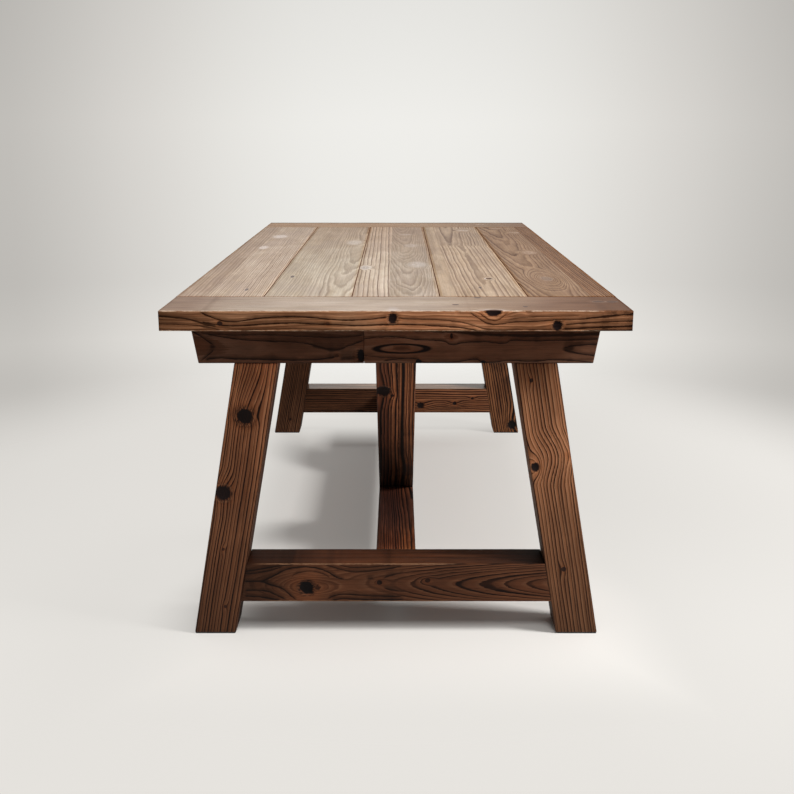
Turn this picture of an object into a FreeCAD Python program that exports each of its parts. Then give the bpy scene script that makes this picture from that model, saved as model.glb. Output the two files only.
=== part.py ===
import FreeCAD, Part
import os

import Sketcher

# A trestle dining table of square timbers: five planks between breadboard ends, two splayed
# trestles, a low stretcher between them and two braces that rise in a V to the trestle heads.
# Frame: +X across the table, +Y along it, +Z up, origin on the floor under the table's middle.

PLANKS = 5
ENDS = (("front", -1), ("rear", 1))
SIDES = (-1, 1)
TOLERANCE = 1e-3
ALONG = 0.9    # least share of a direction's length that counts as running along an axis

# alias, value (mm or degrees), what it is
SIZES = (
    ("table_length", "2070", "length of the top"),
    ("table_width", "950", "width of the top"),
    ("table_height", "762", "height of the top's upper face"),
    ("top_thickness", "42", "thickness of planks and breadboard ends"),
    ("breadboard_depth", "190", "depth of each breadboard end"),
    ("seam_bevel", "1.2", "bevel along the upper edges of every seam in the top"),
    ("edge_round", "2.5", "worn rounding of the long edges of the timbers"),
    ("end_overhang", "135", "top's end beyond the trestle's outer face"),
    ("timber", "91", "side of the square timbers"),
    ("leg_width", "92", "leg, square to its length, across the table"),
    ("leg_splay", "10", "lean of the legs"),
    ("foot_spread", "913", "over the outer edges of a pair of legs, on the floor"),
    ("side_overhang", "36", "top's side beyond the header's upper edge"),
    ("header_height", "94", "height of the header"),
    ("header_slant", "10", "undercut of the header's ends"),
    ("header_joint", "68", "butt joint of the header, off the middle"),
    ("rail_bottom", "78", "floor to the underside of rails and stretcher"),
    ("brace_angle", "45", "rise of the braces"),
    ("fit_gap", "0.1", "clearance round loose tenons, dowels and fasteners"),
    ("seat_gap", "1", "clearance round heads and washers in their counterbores"),
    ("bore_spare", "1", "blind holes and grooves, beyond what they hold"),
    ("spline_width", "26", "loose tongue between two planks"),
    ("spline_thickness", "10", "loose tongue between two planks"),
    ("board_tenon_length", "76", "loose tenon between plank and breadboard end"),
    ("board_tenon_width", "50", "loose tenon between plank and breadboard end"),
    ("board_tenon_thickness", "12", "loose tenon between plank and breadboard end"),
    ("leg_tenon_length", "68", "loose tenon between leg and header"),
    ("leg_tenon_width", "50", "loose tenon between leg and header"),
    ("leg_tenon_thickness", "24", "loose tenon between leg and header"),
    ("splice_length", "80", "loose tenon across the header's butt joint"),
    ("splice_height", "50", "loose tenon across the header's butt joint"),
    ("splice_thickness", "18", "loose tenon across the header's butt joint"),
    ("rail_tenon_length", "45", "stub tenon of the rail, into the leg"),
    ("rail_tenon_height", "55", "stub tenon of the rail"),
    ("rail_tenon_thickness", "28", "stub tenon of the rail"),
    ("dowel_diameter", "12", "dowels between brace and header"),
    ("dowel_length", "60", "dowels between brace and header"),
    ("dowel_spacing", "40", "dowels between brace and header"),
    ("top_bolt_diameter", "8", "bolts up through the header into the top"),
    ("top_bolt_inset", "20", "bolts, from the header's inner face"),
    ("top_bolt_margin", "13", "bolts, from the breadboard tenons beside them"),
    ("top_bolt_seat", "30", "depth of the bolts' counterbores"),
    ("top_bolt_bore", "9", "clearance holes of the bolts"),
    ("bolt_head_flats", "13", "hexagon heads, across flats"),
    ("bolt_head_height", "5.3", "hexagon heads"),
    ("top_washer_diameter", "24", "washers under the bolt heads"),
    ("washer_thickness", "2", "all washers"),
    ("insert_diameter", "12", "threaded inserts in the planks"),
    ("insert_length", "14", "threaded inserts in the planks"),
    ("rod_diameter", "10", "threaded rods between rail and stretcher"),
    ("rod_spacing", "40", "pair of rods in each joint"),
    ("rod_embed", "50", "rod in the rail"),
    ("rod_spare", "6", "rod end beyond its nut"),
    ("nut_flats", "17", "nuts on the rods, across flats"),
    ("nut_height", "8", "nuts on the rods"),
    ("rod_washer_diameter", "26", "washers under the nuts"),
    ("pocket_setback", "40", "stretcher's end to its nut pocket"),
    ("pocket_length", "38", "nut pocket along the stretcher"),
    ("pocket_side_wall", "8", "timber beside the nut pocket"),
    ("pocket_headroom", "14", "nut pocket above the washers' middle line, beyond their radius"),
    ("screw_diameter", "6", "screws up through the stretcher into the braces"),
    ("screw_head_diameter", "12", "screws into the braces"),
    ("screw_head_height", "4", "screws into the braces"),
    ("screw_length", "90", "screws into the braces, under the head"),
    ("screw_seat", "45", "depth of the screws' counterbores"),
    ("screw_toe_margin", "22", "first screw, from the brace's toe"),
    ("screw_spacing", "40", "pair of screws in each brace foot"),
    ("batten_setback", "75", "batten under the middle of the top, from the top's sides"),
    ("batten_width", "70", "batten"),
    ("batten_thickness", "22", "batten"),
    ("batten_screw_diameter", "5", "screws of the batten"),
    ("batten_screw_head", "10", "head diameter of the batten's screws"),
    ("batten_screw_length", "40", "batten's screws, head included"),
    ("glide_setback", "1.5", "edge of the glide, from the sides of its foot"),
    ("glide_height", "3", "glide under each foot"),
    ("glide_pin_diameter", "5", "pin of the glide, in the foot"),
    ("glide_pin_length", "16", "pin of the glide, in the foot"),
)

# alias, formula: places that several pieces share
PLACES = (
    ("top_underside", "Sizes.table_height - Sizes.top_thickness"),
    ("top_middle", "Sizes.table_height - Sizes.top_thickness / 2"),
    ("header_bottom", "top_underside - Sizes.header_height"),
    ("header_middle", "top_underside - Sizes.header_height / 2"),
    ("header_half_top", "Sizes.table_width / 2 - Sizes.side_overhang"),
    ("header_half_bottom", "header_half_top - Sizes.header_height * tan(Sizes.header_slant)"),
    ("rail_top", "Sizes.rail_bottom + Sizes.timber"),
    ("rail_middle", "Sizes.rail_bottom + Sizes.timber / 2"),
    ("trestle_middle", "Sizes.table_length / 2 - Sizes.end_overhang - Sizes.timber / 2"),
    ("trestle_inside", "trestle_middle - Sizes.timber / 2"),
    ("plank_width", f"Sizes.table_width / {PLANKS}"),
    ("plank_length", "Sizes.table_length - 2 * Sizes.breadboard_depth"),
    ("leg_slope", "tan(Sizes.leg_splay)"),
    ("leg_across", "Sizes.leg_width / cos(Sizes.leg_splay)"),
    ("leg_head_middle", "Sizes.foot_spread / 2 - header_bottom * leg_slope - leg_across / 2"),
    ("foot_middle", "Sizes.foot_spread / 2 - leg_across / 2"),
    ("brace_rise", "Sizes.timber / cos(Sizes.brace_angle)"),
    ("brace_slope", "tan(Sizes.brace_angle)"),
    ("brace_toe", "(header_bottom - rail_top) / brace_slope"),
    ("brace_heel", "(header_bottom + brace_rise - rail_top) / brace_slope"),
    ("brace_head", "(header_bottom + brace_rise - top_underside) / brace_slope"),
    ("inner_bolt", "Sizes.board_tenon_width / 2 + Sizes.top_bolt_margin"),
    ("outer_bolt", "plank_width + inner_bolt"),
    ("bolt_line", "Sizes.timber / 2 - Sizes.top_bolt_inset"),
    ("bolt_seat_level", "header_bottom + Sizes.top_bolt_seat"),
    ("bolt_length", "Sizes.header_height - Sizes.top_bolt_seat - Sizes.washer_thickness"
                    " + Sizes.insert_length"),
    ("rod_length", "Sizes.rod_embed + Sizes.pocket_setback + Sizes.washer_thickness"
                   " + Sizes.nut_height + Sizes.rod_spare"),
    ("pocket_top", "rail_middle + Sizes.rod_washer_diameter / 2 + Sizes.pocket_headroom"),
    ("screw_seat_level", "Sizes.rail_bottom + Sizes.screw_seat"),
    ("batten_length", "Sizes.table_width - 2 * Sizes.batten_setback"),
    ("batten_bottom", "top_underside - Sizes.batten_thickness"),
)

doc = FreeCAD.newDocument("sawbuck_table")


# ---------------------------------------------------------------- the sheets

sizes = doc.addObject("Spreadsheet::Sheet", "Sizes")
for row, (alias, value, note) in enumerate(SIZES, 1):
    sizes.set(f"A{row}", alias)
    sizes.set(f"B{row}", value)
    sizes.set(f"C{row}", note)
    sizes.setAlias(f"B{row}", alias)

places = doc.addObject("Spreadsheet::Sheet", "Places")
for row, (alias, formula) in enumerate(PLACES, 1):
    places.set(f"A{row}", alias)
    places.set(f"B{row}", "=" + formula)
    places.setAlias(f"B{row}", alias)
doc.recompute()


def number(formula):
    """The present value of a formula on the sheets, in mm or degrees."""
    return float(sizes.evalExpression(formula))


def bind(thing, **formulas):
    """Binds properties of an object to formulas; a double underscore stands for a dot."""
    for name, formula in formulas.items():
        thing.setExpression(name.replace("__", "."), str(formula))


def grown(size):
    """A hole's size for a piece of this size, with the fitting clearance on both sides."""
    return f"({size} + 2 * Sizes.fit_gap)"


# ---------------------------------------------------------------- features

sub_parts = []


def new_body(label):
    body = doc.addObject("PartDesign::Body", label)
    body.Label = label
    sub_parts.append(body)
    return body


def sketch_on(body, plane, name, offset="0"):
    """An empty sketch on one of the body's own origin planes, raised by offset."""
    sketch = body.newObject("Sketcher::SketchObject", name)
    base = [f for f in body.Origin.OriginFeatures if f.Role == plane][0]
    sketch.AttachmentSupport = (base, [""])
    sketch.MapMode = "FlatFace"
    bind(sketch, AttachmentOffset__Base__z=offset)
    return sketch


def pin_point(sketch, geometry, position, across, up, tag):
    """Ties a point of a sketch to its two formulas, measured from the sketch's origin."""
    for axis, formula in (("X", across), ("Y", up)):
        place = number(formula)
        if abs(place) < TOLERANCE:
            other = {"X": -2, "Y": -1}[axis]
            sketch.addConstraint(Sketcher.Constraint("PointOnObject", geometry, position, other))
            continue
        item = sketch.addConstraint(
            Sketcher.Constraint(f"Distance{axis}", -1, 1, geometry, position, place))
        sketch.renameConstraint(item, f"{tag}{axis}")
        sketch.setExpression(f"Constraints.{tag}{axis}", formula)


def outline(body, plane, name, corners, offset="0"):
    """A closed sketch through corners, each a pair of formulas."""
    sketch = sketch_on(body, plane, name, offset)
    points = [FreeCAD.Vector(number(across), number(up), 0) for across, up in corners]
    count = len(points)
    for i in range(count):
        sketch.addGeometry(Part.LineSegment(points[i], points[(i + 1) % count]), False)
    for i in range(count):
        sketch.addConstraint(Sketcher.Constraint("Coincident", i, 2, (i + 1) % count, 1))
    for i, (across, up) in enumerate(corners):
        pin_point(sketch, i, 1, across, up, f"corner{i}")
    return sketch


def circle(body, plane, name, diameter, offset="0"):
    """A sketch of one circle about the origin."""
    sketch = sketch_on(body, plane, name, offset)
    wide = number(diameter)
    sketch.addGeometry(Part.Circle(FreeCAD.Vector(), FreeCAD.Vector(0, 0, 1), wide / 2), False)
    sketch.addConstraint(Sketcher.Constraint("Coincident", 0, 3, -1, 1))
    item = sketch.addConstraint(Sketcher.Constraint("Diameter", 0, wide))
    sketch.renameConstraint(item, "wide")
    sketch.setExpression("Constraints.wide", diameter)
    return sketch


def hexagon(body, plane, name, flats, offset="0"):
    """A hexagon about the origin, from its width across flats."""
    half = f"{flats} / 2"
    corner = f"{flats} / 2 / cos(30)"
    corners = [(corner, "0"), (f"{corner} / 2", half), (f"-{corner} / 2", half),
               (f"-{corner}", "0"), (f"-{corner} / 2", f"-{half}"), (f"{corner} / 2", f"-{half}")]
    return outline(body, plane, name, corners, offset)


def pad(body, sketch, name, length, symmetric=False, reverse=False):
    feature = body.newObject("PartDesign::Pad", name)
    feature.Profile = sketch
    feature.SideType = "Symmetric" if symmetric else "One side"
    feature.Reversed = reverse
    bind(feature, Length=length)
    doc.recompute()


def pocket_both_ways(body, sketch, name, depth):
    before = body.Shape.Volume
    feature = body.newObject("PartDesign::Pocket", name)
    feature.Profile = sketch
    feature.SideType = "Symmetric"
    bind(feature, Length=depth)
    doc.recompute()
    if body.Shape.Volume > before - 1:
        raise RuntimeError(f"{body.Label}: pocket {name} cuts nothing")


def box_cut(body, name, middle, size):
    """A square-cornered mortise, by the formulas of its middle and its size."""
    before = body.Shape.Volume
    feature = body.newObject("PartDesign::SubtractiveBox", name)
    bind(feature, Length=size[0], Width=size[1], Height=size[2])
    bind(feature,
         Placement__Base__x=f"({middle[0]}) - ({size[0]}) / 2",
         Placement__Base__y=f"({middle[1]}) - ({size[1]}) / 2",
         Placement__Base__z=f"({middle[2]}) - ({size[2]}) / 2")
    doc.recompute()
    if body.Shape.Volume > before - 1:
        raise RuntimeError(f"{body.Label}: mortise {name} cuts nothing")


TURNS = {
    "up": FreeCAD.Rotation(),
    "along": FreeCAD.Rotation(FreeCAD.Vector(1, 0, 0), -90),
}


def bore(body, name, mouth, diameter, depth, way="up"):
    """A round hole that starts at mouth and runs up, or along +Y."""
    before = body.Shape.Volume
    feature = body.newObject("PartDesign::SubtractiveCylinder", name)
    feature.Placement = FreeCAD.Placement(FreeCAD.Vector(), TURNS[way])
    bind(feature, Radius=f"({diameter}) / 2", Height=depth,
         Placement__Base__x=mouth[0], Placement__Base__y=mouth[1], Placement__Base__z=mouth[2])
    doc.recompute()
    if body.Shape.Volume > before - 1:
        raise RuntimeError(f"{body.Label}: bore {name} cuts nothing")


def runs_along(direction, axis):
    return abs(getattr(direction, axis)) > ALONG


def edges_where(feature, test):
    """Names of the edges whose middle point and direction pass the test."""
    names = []
    for i, edge in enumerate(feature.Shape.Edges, 1):
        if test(edge.CenterOfMass, edge.tangentAt(edge.FirstParameter)):
            names.append(f"Edge{i}")
    return names


def round_edges(body, test):
    """Gives the edges of the body's tip that pass the test their worn rounding."""
    tip = body.Tip
    feature = body.newObject("PartDesign::Fillet", "WornEdge")
    feature.Base = (tip, edges_where(tip, test))
    bind(feature, Radius="Sizes.edge_round")
    doc.recompute()


def bevel_edges(body, test):
    """Bevels the edges of the body's tip that pass the test, as beside a seam."""
    tip = body.Tip
    feature = body.newObject("PartDesign::Chamfer", "SeamBevel")
    feature.Base = (tip, edges_where(tip, test))
    bind(feature, Size="Sizes.seam_bevel")
    doc.recompute()


def shank_hole(body, name, mouth, diameter, depth, way="up"):
    """A bore with the fitting clearance all round its shank."""
    bore(body, name, mouth, grown(diameter), depth, way)


def stand(thing, across="0", along="0", up="0", turned=False):
    """Puts a sub-part in its place; turned faces it the other way along the table."""
    if turned:
        thing.Placement = FreeCAD.Placement(
            FreeCAD.Vector(), FreeCAD.Rotation(FreeCAD.Vector(0, 0, 1), 180))
    bind(thing, Placement__Base__x=across, Placement__Base__y=along, Placement__Base__z=up)


def copies(label, master, spots):
    """One sub-part that holds a separate copy of master at each spot."""
    links = []
    for i, (across, along, up, turned) in enumerate(spots, 1):
        link = doc.addObject("App::Link", f"{label}_{i}")
        link.LinkedObject = master
        stand(link, across, along, up, turned)
        links.append(link)
    group = doc.addObject("Part::Compound", label)
    group.Label = label
    group.Links = links
    sub_parts.append(group)
    doc.recompute()


def master_body(label):
    """A body that is only copied, and isn't a sub-part itself."""
    body = new_body(label)
    sub_parts.remove(body)
    return body


def block_pad(body, size, length_axis):
    """A squared block about its own middle: its end's section, padded both ways."""
    plane, pair = {"X": ("YZ_Plane", (1, 2)), "Y": ("XZ_Plane", (0, 2)),
                   "Z": ("XY_Plane", (0, 1))}[length_axis]
    across, up = (f"({size[i]}) / 2" for i in pair)
    corners = [(f"-{across}", f"-{up}"), (across, f"-{up}"), (across, up), (f"-{across}", up)]
    section = outline(body, plane, "Section", corners)
    pad(body, section, "Blank", size["XYZ".index(length_axis)], symmetric=True)


def block(label, size, length_axis):
    body = new_body(label)
    block_pad(body, size, length_axis)
    return body


# ---------------------------------------------------------------- the top

def plank_middle(index):
    return f"({index} - {(PLANKS - 1) / 2}) * Places.plank_width"


TENON_MORTISE = (
    grown("Sizes.board_tenon_width"),
    grown("Sizes.board_tenon_length"),
    grown("Sizes.board_tenon_thickness"),
)


def make_plank(index):
    """A plank, grooved along its inner edges and mortised at both ends."""
    body = new_body(f"top_plank_{index + 1}")
    block_pad(body, ("Places.plank_width", "Places.plank_length", "Sizes.top_thickness"), "Y")
    half = number("Sizes.top_thickness / 2")
    half_width = number("Places.plank_width / 2")
    outer = {0: -1, PLANKS - 1: 1}.get(index, 0)

    def at_outer_side(middle):
        return outer and middle.x * outer > half_width - TOLERANCE

    def long_outer(middle, direction):
        return runs_along(direction, "y") and at_outer_side(middle)

    def upper_seam(middle, direction):
        return middle.z > half - TOLERANCE and not long_outer(middle, direction)

    middle_plank = PLANKS // 2
    bolt_sides = {middle_plank - 1: (-1,), middle_plank: SIDES, middle_plank + 1: (1,)}.get(
        index, ())
    bevel_edges(body, upper_seam)
    if outer:
        round_edges(body, long_outer)
    for side in SIDES:
        if side != outer:
            box_cut(body, "Groove", (f"{side} * Places.plank_width / 2", "0", "0"),
                    (grown("Sizes.spline_width"), "Places.plank_length + Sizes.bore_spare",
                     grown("Sizes.spline_thickness")))
        box_cut(body, "EndMortise", ("0", f"{side} * Places.plank_length / 2", "0"),
                TENON_MORTISE)
        for bolt_side in bolt_sides:
            shank_hole(body, "InsertHole",
                       (f"{bolt_side} * Places.inner_bolt",
                        f"{side} * (Places.trestle_middle - Places.bolt_line)",
                        "-Sizes.top_thickness / 2"),
                       "Sizes.insert_diameter", "Sizes.insert_length + Sizes.bore_spare")
    shank_hole(body, "BattenPilot", ("0", "0", "-Sizes.top_thickness / 2"),
               "Sizes.batten_screw_diameter",
               "Sizes.batten_screw_length - Sizes.batten_thickness + Sizes.bore_spare")
    stand(body, across=plank_middle(index), up="Places.top_middle")


def make_breadboard(end, sign):
    """A breadboard end, mortised for one loose tenon in each plank."""
    body = new_body(f"breadboard_{end}")
    block_pad(body, ("Sizes.table_width", "Sizes.breadboard_depth", "Sizes.top_thickness"), "X")
    half_depth = number("Sizes.breadboard_depth / 2")
    half = number("Sizes.top_thickness / 2")

    def seam(middle, direction):
        inner = middle.y > half_depth - TOLERANCE
        return inner and middle.z > half - TOLERANCE and runs_along(direction, "x")

    def worn(middle, direction):
        return middle.y < -half_depth + TOLERANCE or runs_along(direction, "y")

    bevel_edges(body, seam)
    round_edges(body, worn)
    for i in range(PLANKS):
        box_cut(body, "PlankMortise", (plank_middle(i), "Sizes.breadboard_depth / 2", "0"),
                TENON_MORTISE)
    stand(body, along=f"{sign} * (Sizes.table_length - Sizes.breadboard_depth) / 2",
          up="Places.top_middle", turned=sign > 0)


def make_top():
    for i in range(PLANKS):
        make_plank(i)
    for i in range(PLANKS - 1):
        spline = block(f"plank_spline_{i + 1}",
                       ("Sizes.spline_width", "Places.plank_length", "Sizes.spline_thickness"),
                       "Y")
        stand(spline, across=f"({plank_middle(i)}) + Places.plank_width / 2",
              up="Places.top_middle")
    tenon = master_body("Board_tenon")
    block_pad(tenon, ("Sizes.board_tenon_width", "Sizes.board_tenon_length",
                    "Sizes.board_tenon_thickness"), "Y")
    for end, sign in ENDS:
        make_breadboard(end, sign)
        copies(f"breadboard_tenons_{end}", tenon,
               [(plank_middle(i), f"{sign} * Places.plank_length / 2", "Places.top_middle", False)
                for i in range(PLANKS)])


# ---------------------------------------------------------------- the batten

def make_batten():
    """A batten across the planks' undersides, with one screw up into each plank."""
    body = new_body("centre_batten")
    block_pad(body, ("Places.batten_length", "Sizes.batten_width", "Sizes.batten_thickness"), "X")
    low = -number("Sizes.batten_thickness / 2")
    round_edges(body, lambda middle, direction: middle.z < low + TOLERANCE)
    for i in range(PLANKS):
        shank_hole(body, "ScrewHole", (plank_middle(i), "0", "-Sizes.batten_thickness / 2"),
                   "Sizes.batten_screw_diameter", "Sizes.batten_thickness")
        sink = body.newObject("PartDesign::SubtractiveCone", "Countersink")
        bind(sink, Radius1="Sizes.batten_screw_head / 2 + Sizes.fit_gap",
             Radius2="Sizes.batten_screw_diameter / 2 + Sizes.fit_gap",
             Height="(Sizes.batten_screw_head - Sizes.batten_screw_diameter) / 2",
             Placement__Base__x=plank_middle(i),
             Placement__Base__z="-Sizes.batten_thickness / 2")
        doc.recompute()
    stand(body, up="Places.top_underside - Sizes.batten_thickness / 2")

    screw = master_body("Batten_screw")
    shank = circle(screw, "XY_Plane", "Shank", "Sizes.batten_screw_diameter")
    pad(screw, shank, "ShankPad", "Sizes.batten_screw_length")
    head = screw.newObject("PartDesign::AdditiveCone", "Head")
    bind(head, Radius1="Sizes.batten_screw_head / 2", Radius2="Sizes.batten_screw_diameter / 2",
         Height="(Sizes.batten_screw_head - Sizes.batten_screw_diameter) / 2")
    doc.recompute()
    copies("batten_screws", screw,
           [(plank_middle(i), "0", "Places.batten_bottom", False) for i in range(PLANKS)])


# ---------------------------------------------------------------- the trestles

# A trestle is drawn about its own middle with its outer face towards -Y; the rear one is turned.

def side_label(end_sign, side):
    """Left or right as seen from the front, for a side in the trestle's own frame."""
    return "left" if side * end_sign > 0 else "right"


def trestle_spot(end_sign):
    return {"along": f"{end_sign} * Places.trestle_middle", "turned": end_sign > 0}


def leg_outer(level):
    return f"(Sizes.foot_spread / 2 - ({level}) * Places.leg_slope)"


def leg_inner(level):
    return f"(Sizes.foot_spread / 2 - Places.leg_across - ({level}) * Places.leg_slope)"


LEG_MORTISE = (
    grown("Sizes.leg_tenon_width"),
    grown("Sizes.leg_tenon_thickness"),
    grown("Sizes.leg_tenon_length"),
)
SPLICE_MORTISE = (
    grown("Sizes.splice_length"),
    grown("Sizes.splice_thickness"),
    grown("Sizes.splice_height"),
)


DOWEL_LEVELS = ("Places.header_middle - Sizes.dowel_spacing / 2",
                "Places.header_middle + Sizes.dowel_spacing / 2")
TOP_BOLTS_ACROSS = [f"{side} * {place}" for side in SIDES
                    for place in ("Places.inner_bolt", "Places.outer_bolt")]
TOP_BOLT_SEAT_DIAMETER = "Sizes.top_washer_diameter + 2 * Sizes.seat_gap"


def reaches(side, joint, across, diameter):
    """Whether a hole at across cuts the header's length on this side of the joint."""
    return side * (number(across) - number(joint)) + number(diameter) / 2 > 0


def make_header(end, end_sign, side):
    """One length of the header beam, from its undercut end to the butt joint."""
    body = new_body(f"{end}_header_{side_label(end_sign, side)}")
    joint = "-Sizes.header_joint"
    ends = ("Places.header_half_bottom", "Places.header_half_top")
    corners = [(joint, "Places.header_bottom"), (f"{side} * {ends[0]}", "Places.header_bottom"),
               (f"{side} * {ends[1]}", "Places.top_underside"), (joint, "Places.top_underside")]
    pad(body, outline(body, "XZ_Plane", "Face", corners), "Blank", "Sizes.timber",
        symmetric=True)
    round_edges(body, lambda middle, direction: runs_along(direction, "x"))
    box_cut(body, "LegMortise",
            (f"{side} * Places.leg_head_middle", "0", "Places.header_bottom"), LEG_MORTISE)
    box_cut(body, "SpliceMortise", (joint, "0", "Places.header_middle"), SPLICE_MORTISE)
    for across in TOP_BOLTS_ACROSS:
        if reaches(side, joint, across, TOP_BOLT_SEAT_DIAMETER):
            bore(body, "BoltHole", (across, "Places.bolt_line", "Places.header_bottom"),
                 "Sizes.top_bolt_bore", "Sizes.header_height")
            bore(body, "BoltSeat", (across, "Places.bolt_line", "Places.header_bottom"),
                 TOP_BOLT_SEAT_DIAMETER, "Sizes.top_bolt_seat")
    for level in DOWEL_LEVELS:
        if reaches(side, joint, "0", grown("Sizes.dowel_diameter")):
            shank_hole(body, "DowelHole",
                       ("0", "Sizes.timber / 2 - Sizes.dowel_length / 2 - Sizes.fit_gap", level),
                       "Sizes.dowel_diameter", "Sizes.dowel_length / 2 + Sizes.bore_spare",
                       way="along")
    stand(body, **trestle_spot(end_sign))


def make_leg(end, end_sign, side):
    """A splayed leg, cut level at the head and the foot."""
    body = new_body(f"{end}_leg_{side_label(end_sign, side)}")
    foot, head = "Sizes.glide_height", "Places.header_bottom"
    corners = [(f"{side} * {leg_outer(foot)}", foot), (f"{side} * {leg_outer(head)}", head),
               (f"{side} * {leg_inner(head)}", head), (f"{side} * {leg_inner(foot)}", foot)]
    pad(body, outline(body, "XZ_Plane", "Face", corners), "Blank", "Sizes.timber",
        symmetric=True)
    round_edges(body, lambda middle, direction: runs_along(direction, "z"))
    box_cut(body, "HeadMortise",
            (f"{side} * Places.leg_head_middle", "0", "Places.header_bottom"), LEG_MORTISE)
    reach = "(Sizes.rail_tenon_length + Sizes.fit_gap)"
    low = "(Places.rail_middle - Sizes.rail_tenon_height / 2 - Sizes.fit_gap)"
    high = "(Places.rail_middle + Sizes.rail_tenon_height / 2 + Sizes.fit_gap)"
    mouth = "Sizes.edge_round"
    mortise = [(f"{side} * ({leg_inner(low)} - {mouth})", low),
               (f"{side} * ({leg_inner(low)} + {reach})", low),
               (f"{side} * ({leg_inner(high)} + {reach})", high),
               (f"{side} * ({leg_inner(high)} - {mouth})", high)]
    pocket_both_ways(body, outline(body, "XZ_Plane", "MortiseFace", mortise), "RailMortise",
                     grown("Sizes.rail_tenon_thickness"))
    shank_hole(body, "GlideHole", (f"{side} * Places.foot_middle", "0", foot),
               "Sizes.glide_pin_diameter", "Sizes.glide_pin_length + Sizes.bore_spare")
    stand(body, **trestle_spot(end_sign))


def rail_face(reach, low, high):
    """Corners between the legs' inner faces, longer by reach at both ends."""
    return [(f"-({leg_inner(low)} + {reach})", low), (f"{leg_inner(low)} + {reach}", low),
            (f"{leg_inner(high)} + {reach}", high), (f"-({leg_inner(high)} + {reach})", high)]


def make_rail(end, end_sign):
    """The lower rail, with a stub tenon at each end and two rod holes in its inner face."""
    body = new_body(f"{end}_rail")
    face = rail_face("0", "Sizes.rail_bottom", "Places.rail_top")
    pad(body, outline(body, "XZ_Plane", "Face", face), "Blank", "Sizes.timber", symmetric=True)
    round_edges(body, lambda middle, direction: runs_along(direction, "x"))
    low = "(Places.rail_middle - Sizes.rail_tenon_height / 2)"
    high = "(Places.rail_middle + Sizes.rail_tenon_height / 2)"
    tenons = rail_face("Sizes.rail_tenon_length", low, high)
    pad(body, outline(body, "XZ_Plane", "TenonFace", tenons), "Tenons",
        "Sizes.rail_tenon_thickness", symmetric=True)
    for side in SIDES:
        shank_hole(body, "RodHole",
                   (f"{side} * Sizes.rod_spacing / 2",
                    "Sizes.timber / 2 - Sizes.rod_embed - Sizes.fit_gap", "Places.rail_middle"),
                   "Sizes.rod_diameter", "Sizes.rod_embed + Sizes.bore_spare", way="along")
    stand(body, **trestle_spot(end_sign))


def make_trestle(end, end_sign, leg_tenon, glide):
    for side in SIDES:
        make_header(end, end_sign, side)
    splice = block(f"{end}_header_splice",
                   ("Sizes.splice_length", "Sizes.splice_thickness", "Sizes.splice_height"), "X")
    stand(splice, across=f"{end_sign} * Sizes.header_joint",
          along=f"{end_sign} * Places.trestle_middle", up="Places.header_middle")
    for side in SIDES:
        make_leg(end, end_sign, side)
    copies(f"{end}_leg_tenons", leg_tenon,
           [(f"{side} * Places.leg_head_middle", f"{end_sign} * Places.trestle_middle",
             "Places.header_bottom", False) for side in SIDES])
    make_rail(end, end_sign)
    for side in SIDES:
        copies(f"{end}_glide_{'left' if side < 0 else 'right'}", glide,
               [(f"{side} * Places.foot_middle", f"{end_sign} * Places.trestle_middle",
                 "0", False)])


def make_glide():
    """A flat pad a little smaller than the foot that it covers, with a pin in its middle."""
    glide = master_body("Glide")
    across = "(Places.leg_across / 2 - Sizes.glide_setback)"
    along = "(Sizes.timber / 2 - Sizes.glide_setback)"
    corners = [(f"-{across}", f"-{along}"), (across, f"-{along}"),
               (across, along), (f"-{across}", along)]
    pad(glide, outline(glide, "XY_Plane", "Sole", corners), "SolePad", "Sizes.glide_height")
    round_edges(glide, lambda middle, direction: runs_along(direction, "z"))
    pin = circle(glide, "XY_Plane", "Pin", "Sizes.glide_pin_diameter", "Sizes.glide_height")
    pad(glide, pin, "PinPad", "Sizes.glide_pin_length")
    return glide


def make_trestles():
    leg_tenon = master_body("Leg_tenon")
    block_pad(leg_tenon, ("Sizes.leg_tenon_width", "Sizes.leg_tenon_thickness",
                        "Sizes.leg_tenon_length"), "Z")
    glide = make_glide()
    for end, end_sign in ENDS:
        make_trestle(end, end_sign, leg_tenon, glide)


# ---------------------------------------------------------------- stretcher and braces

def brace_screw_places():
    """Distances of the brace screws from the rail's inner face."""
    first = "Places.brace_toe + Sizes.screw_toe_margin"
    return [f"({first})", f"({first} + Sizes.screw_spacing)"]


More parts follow.
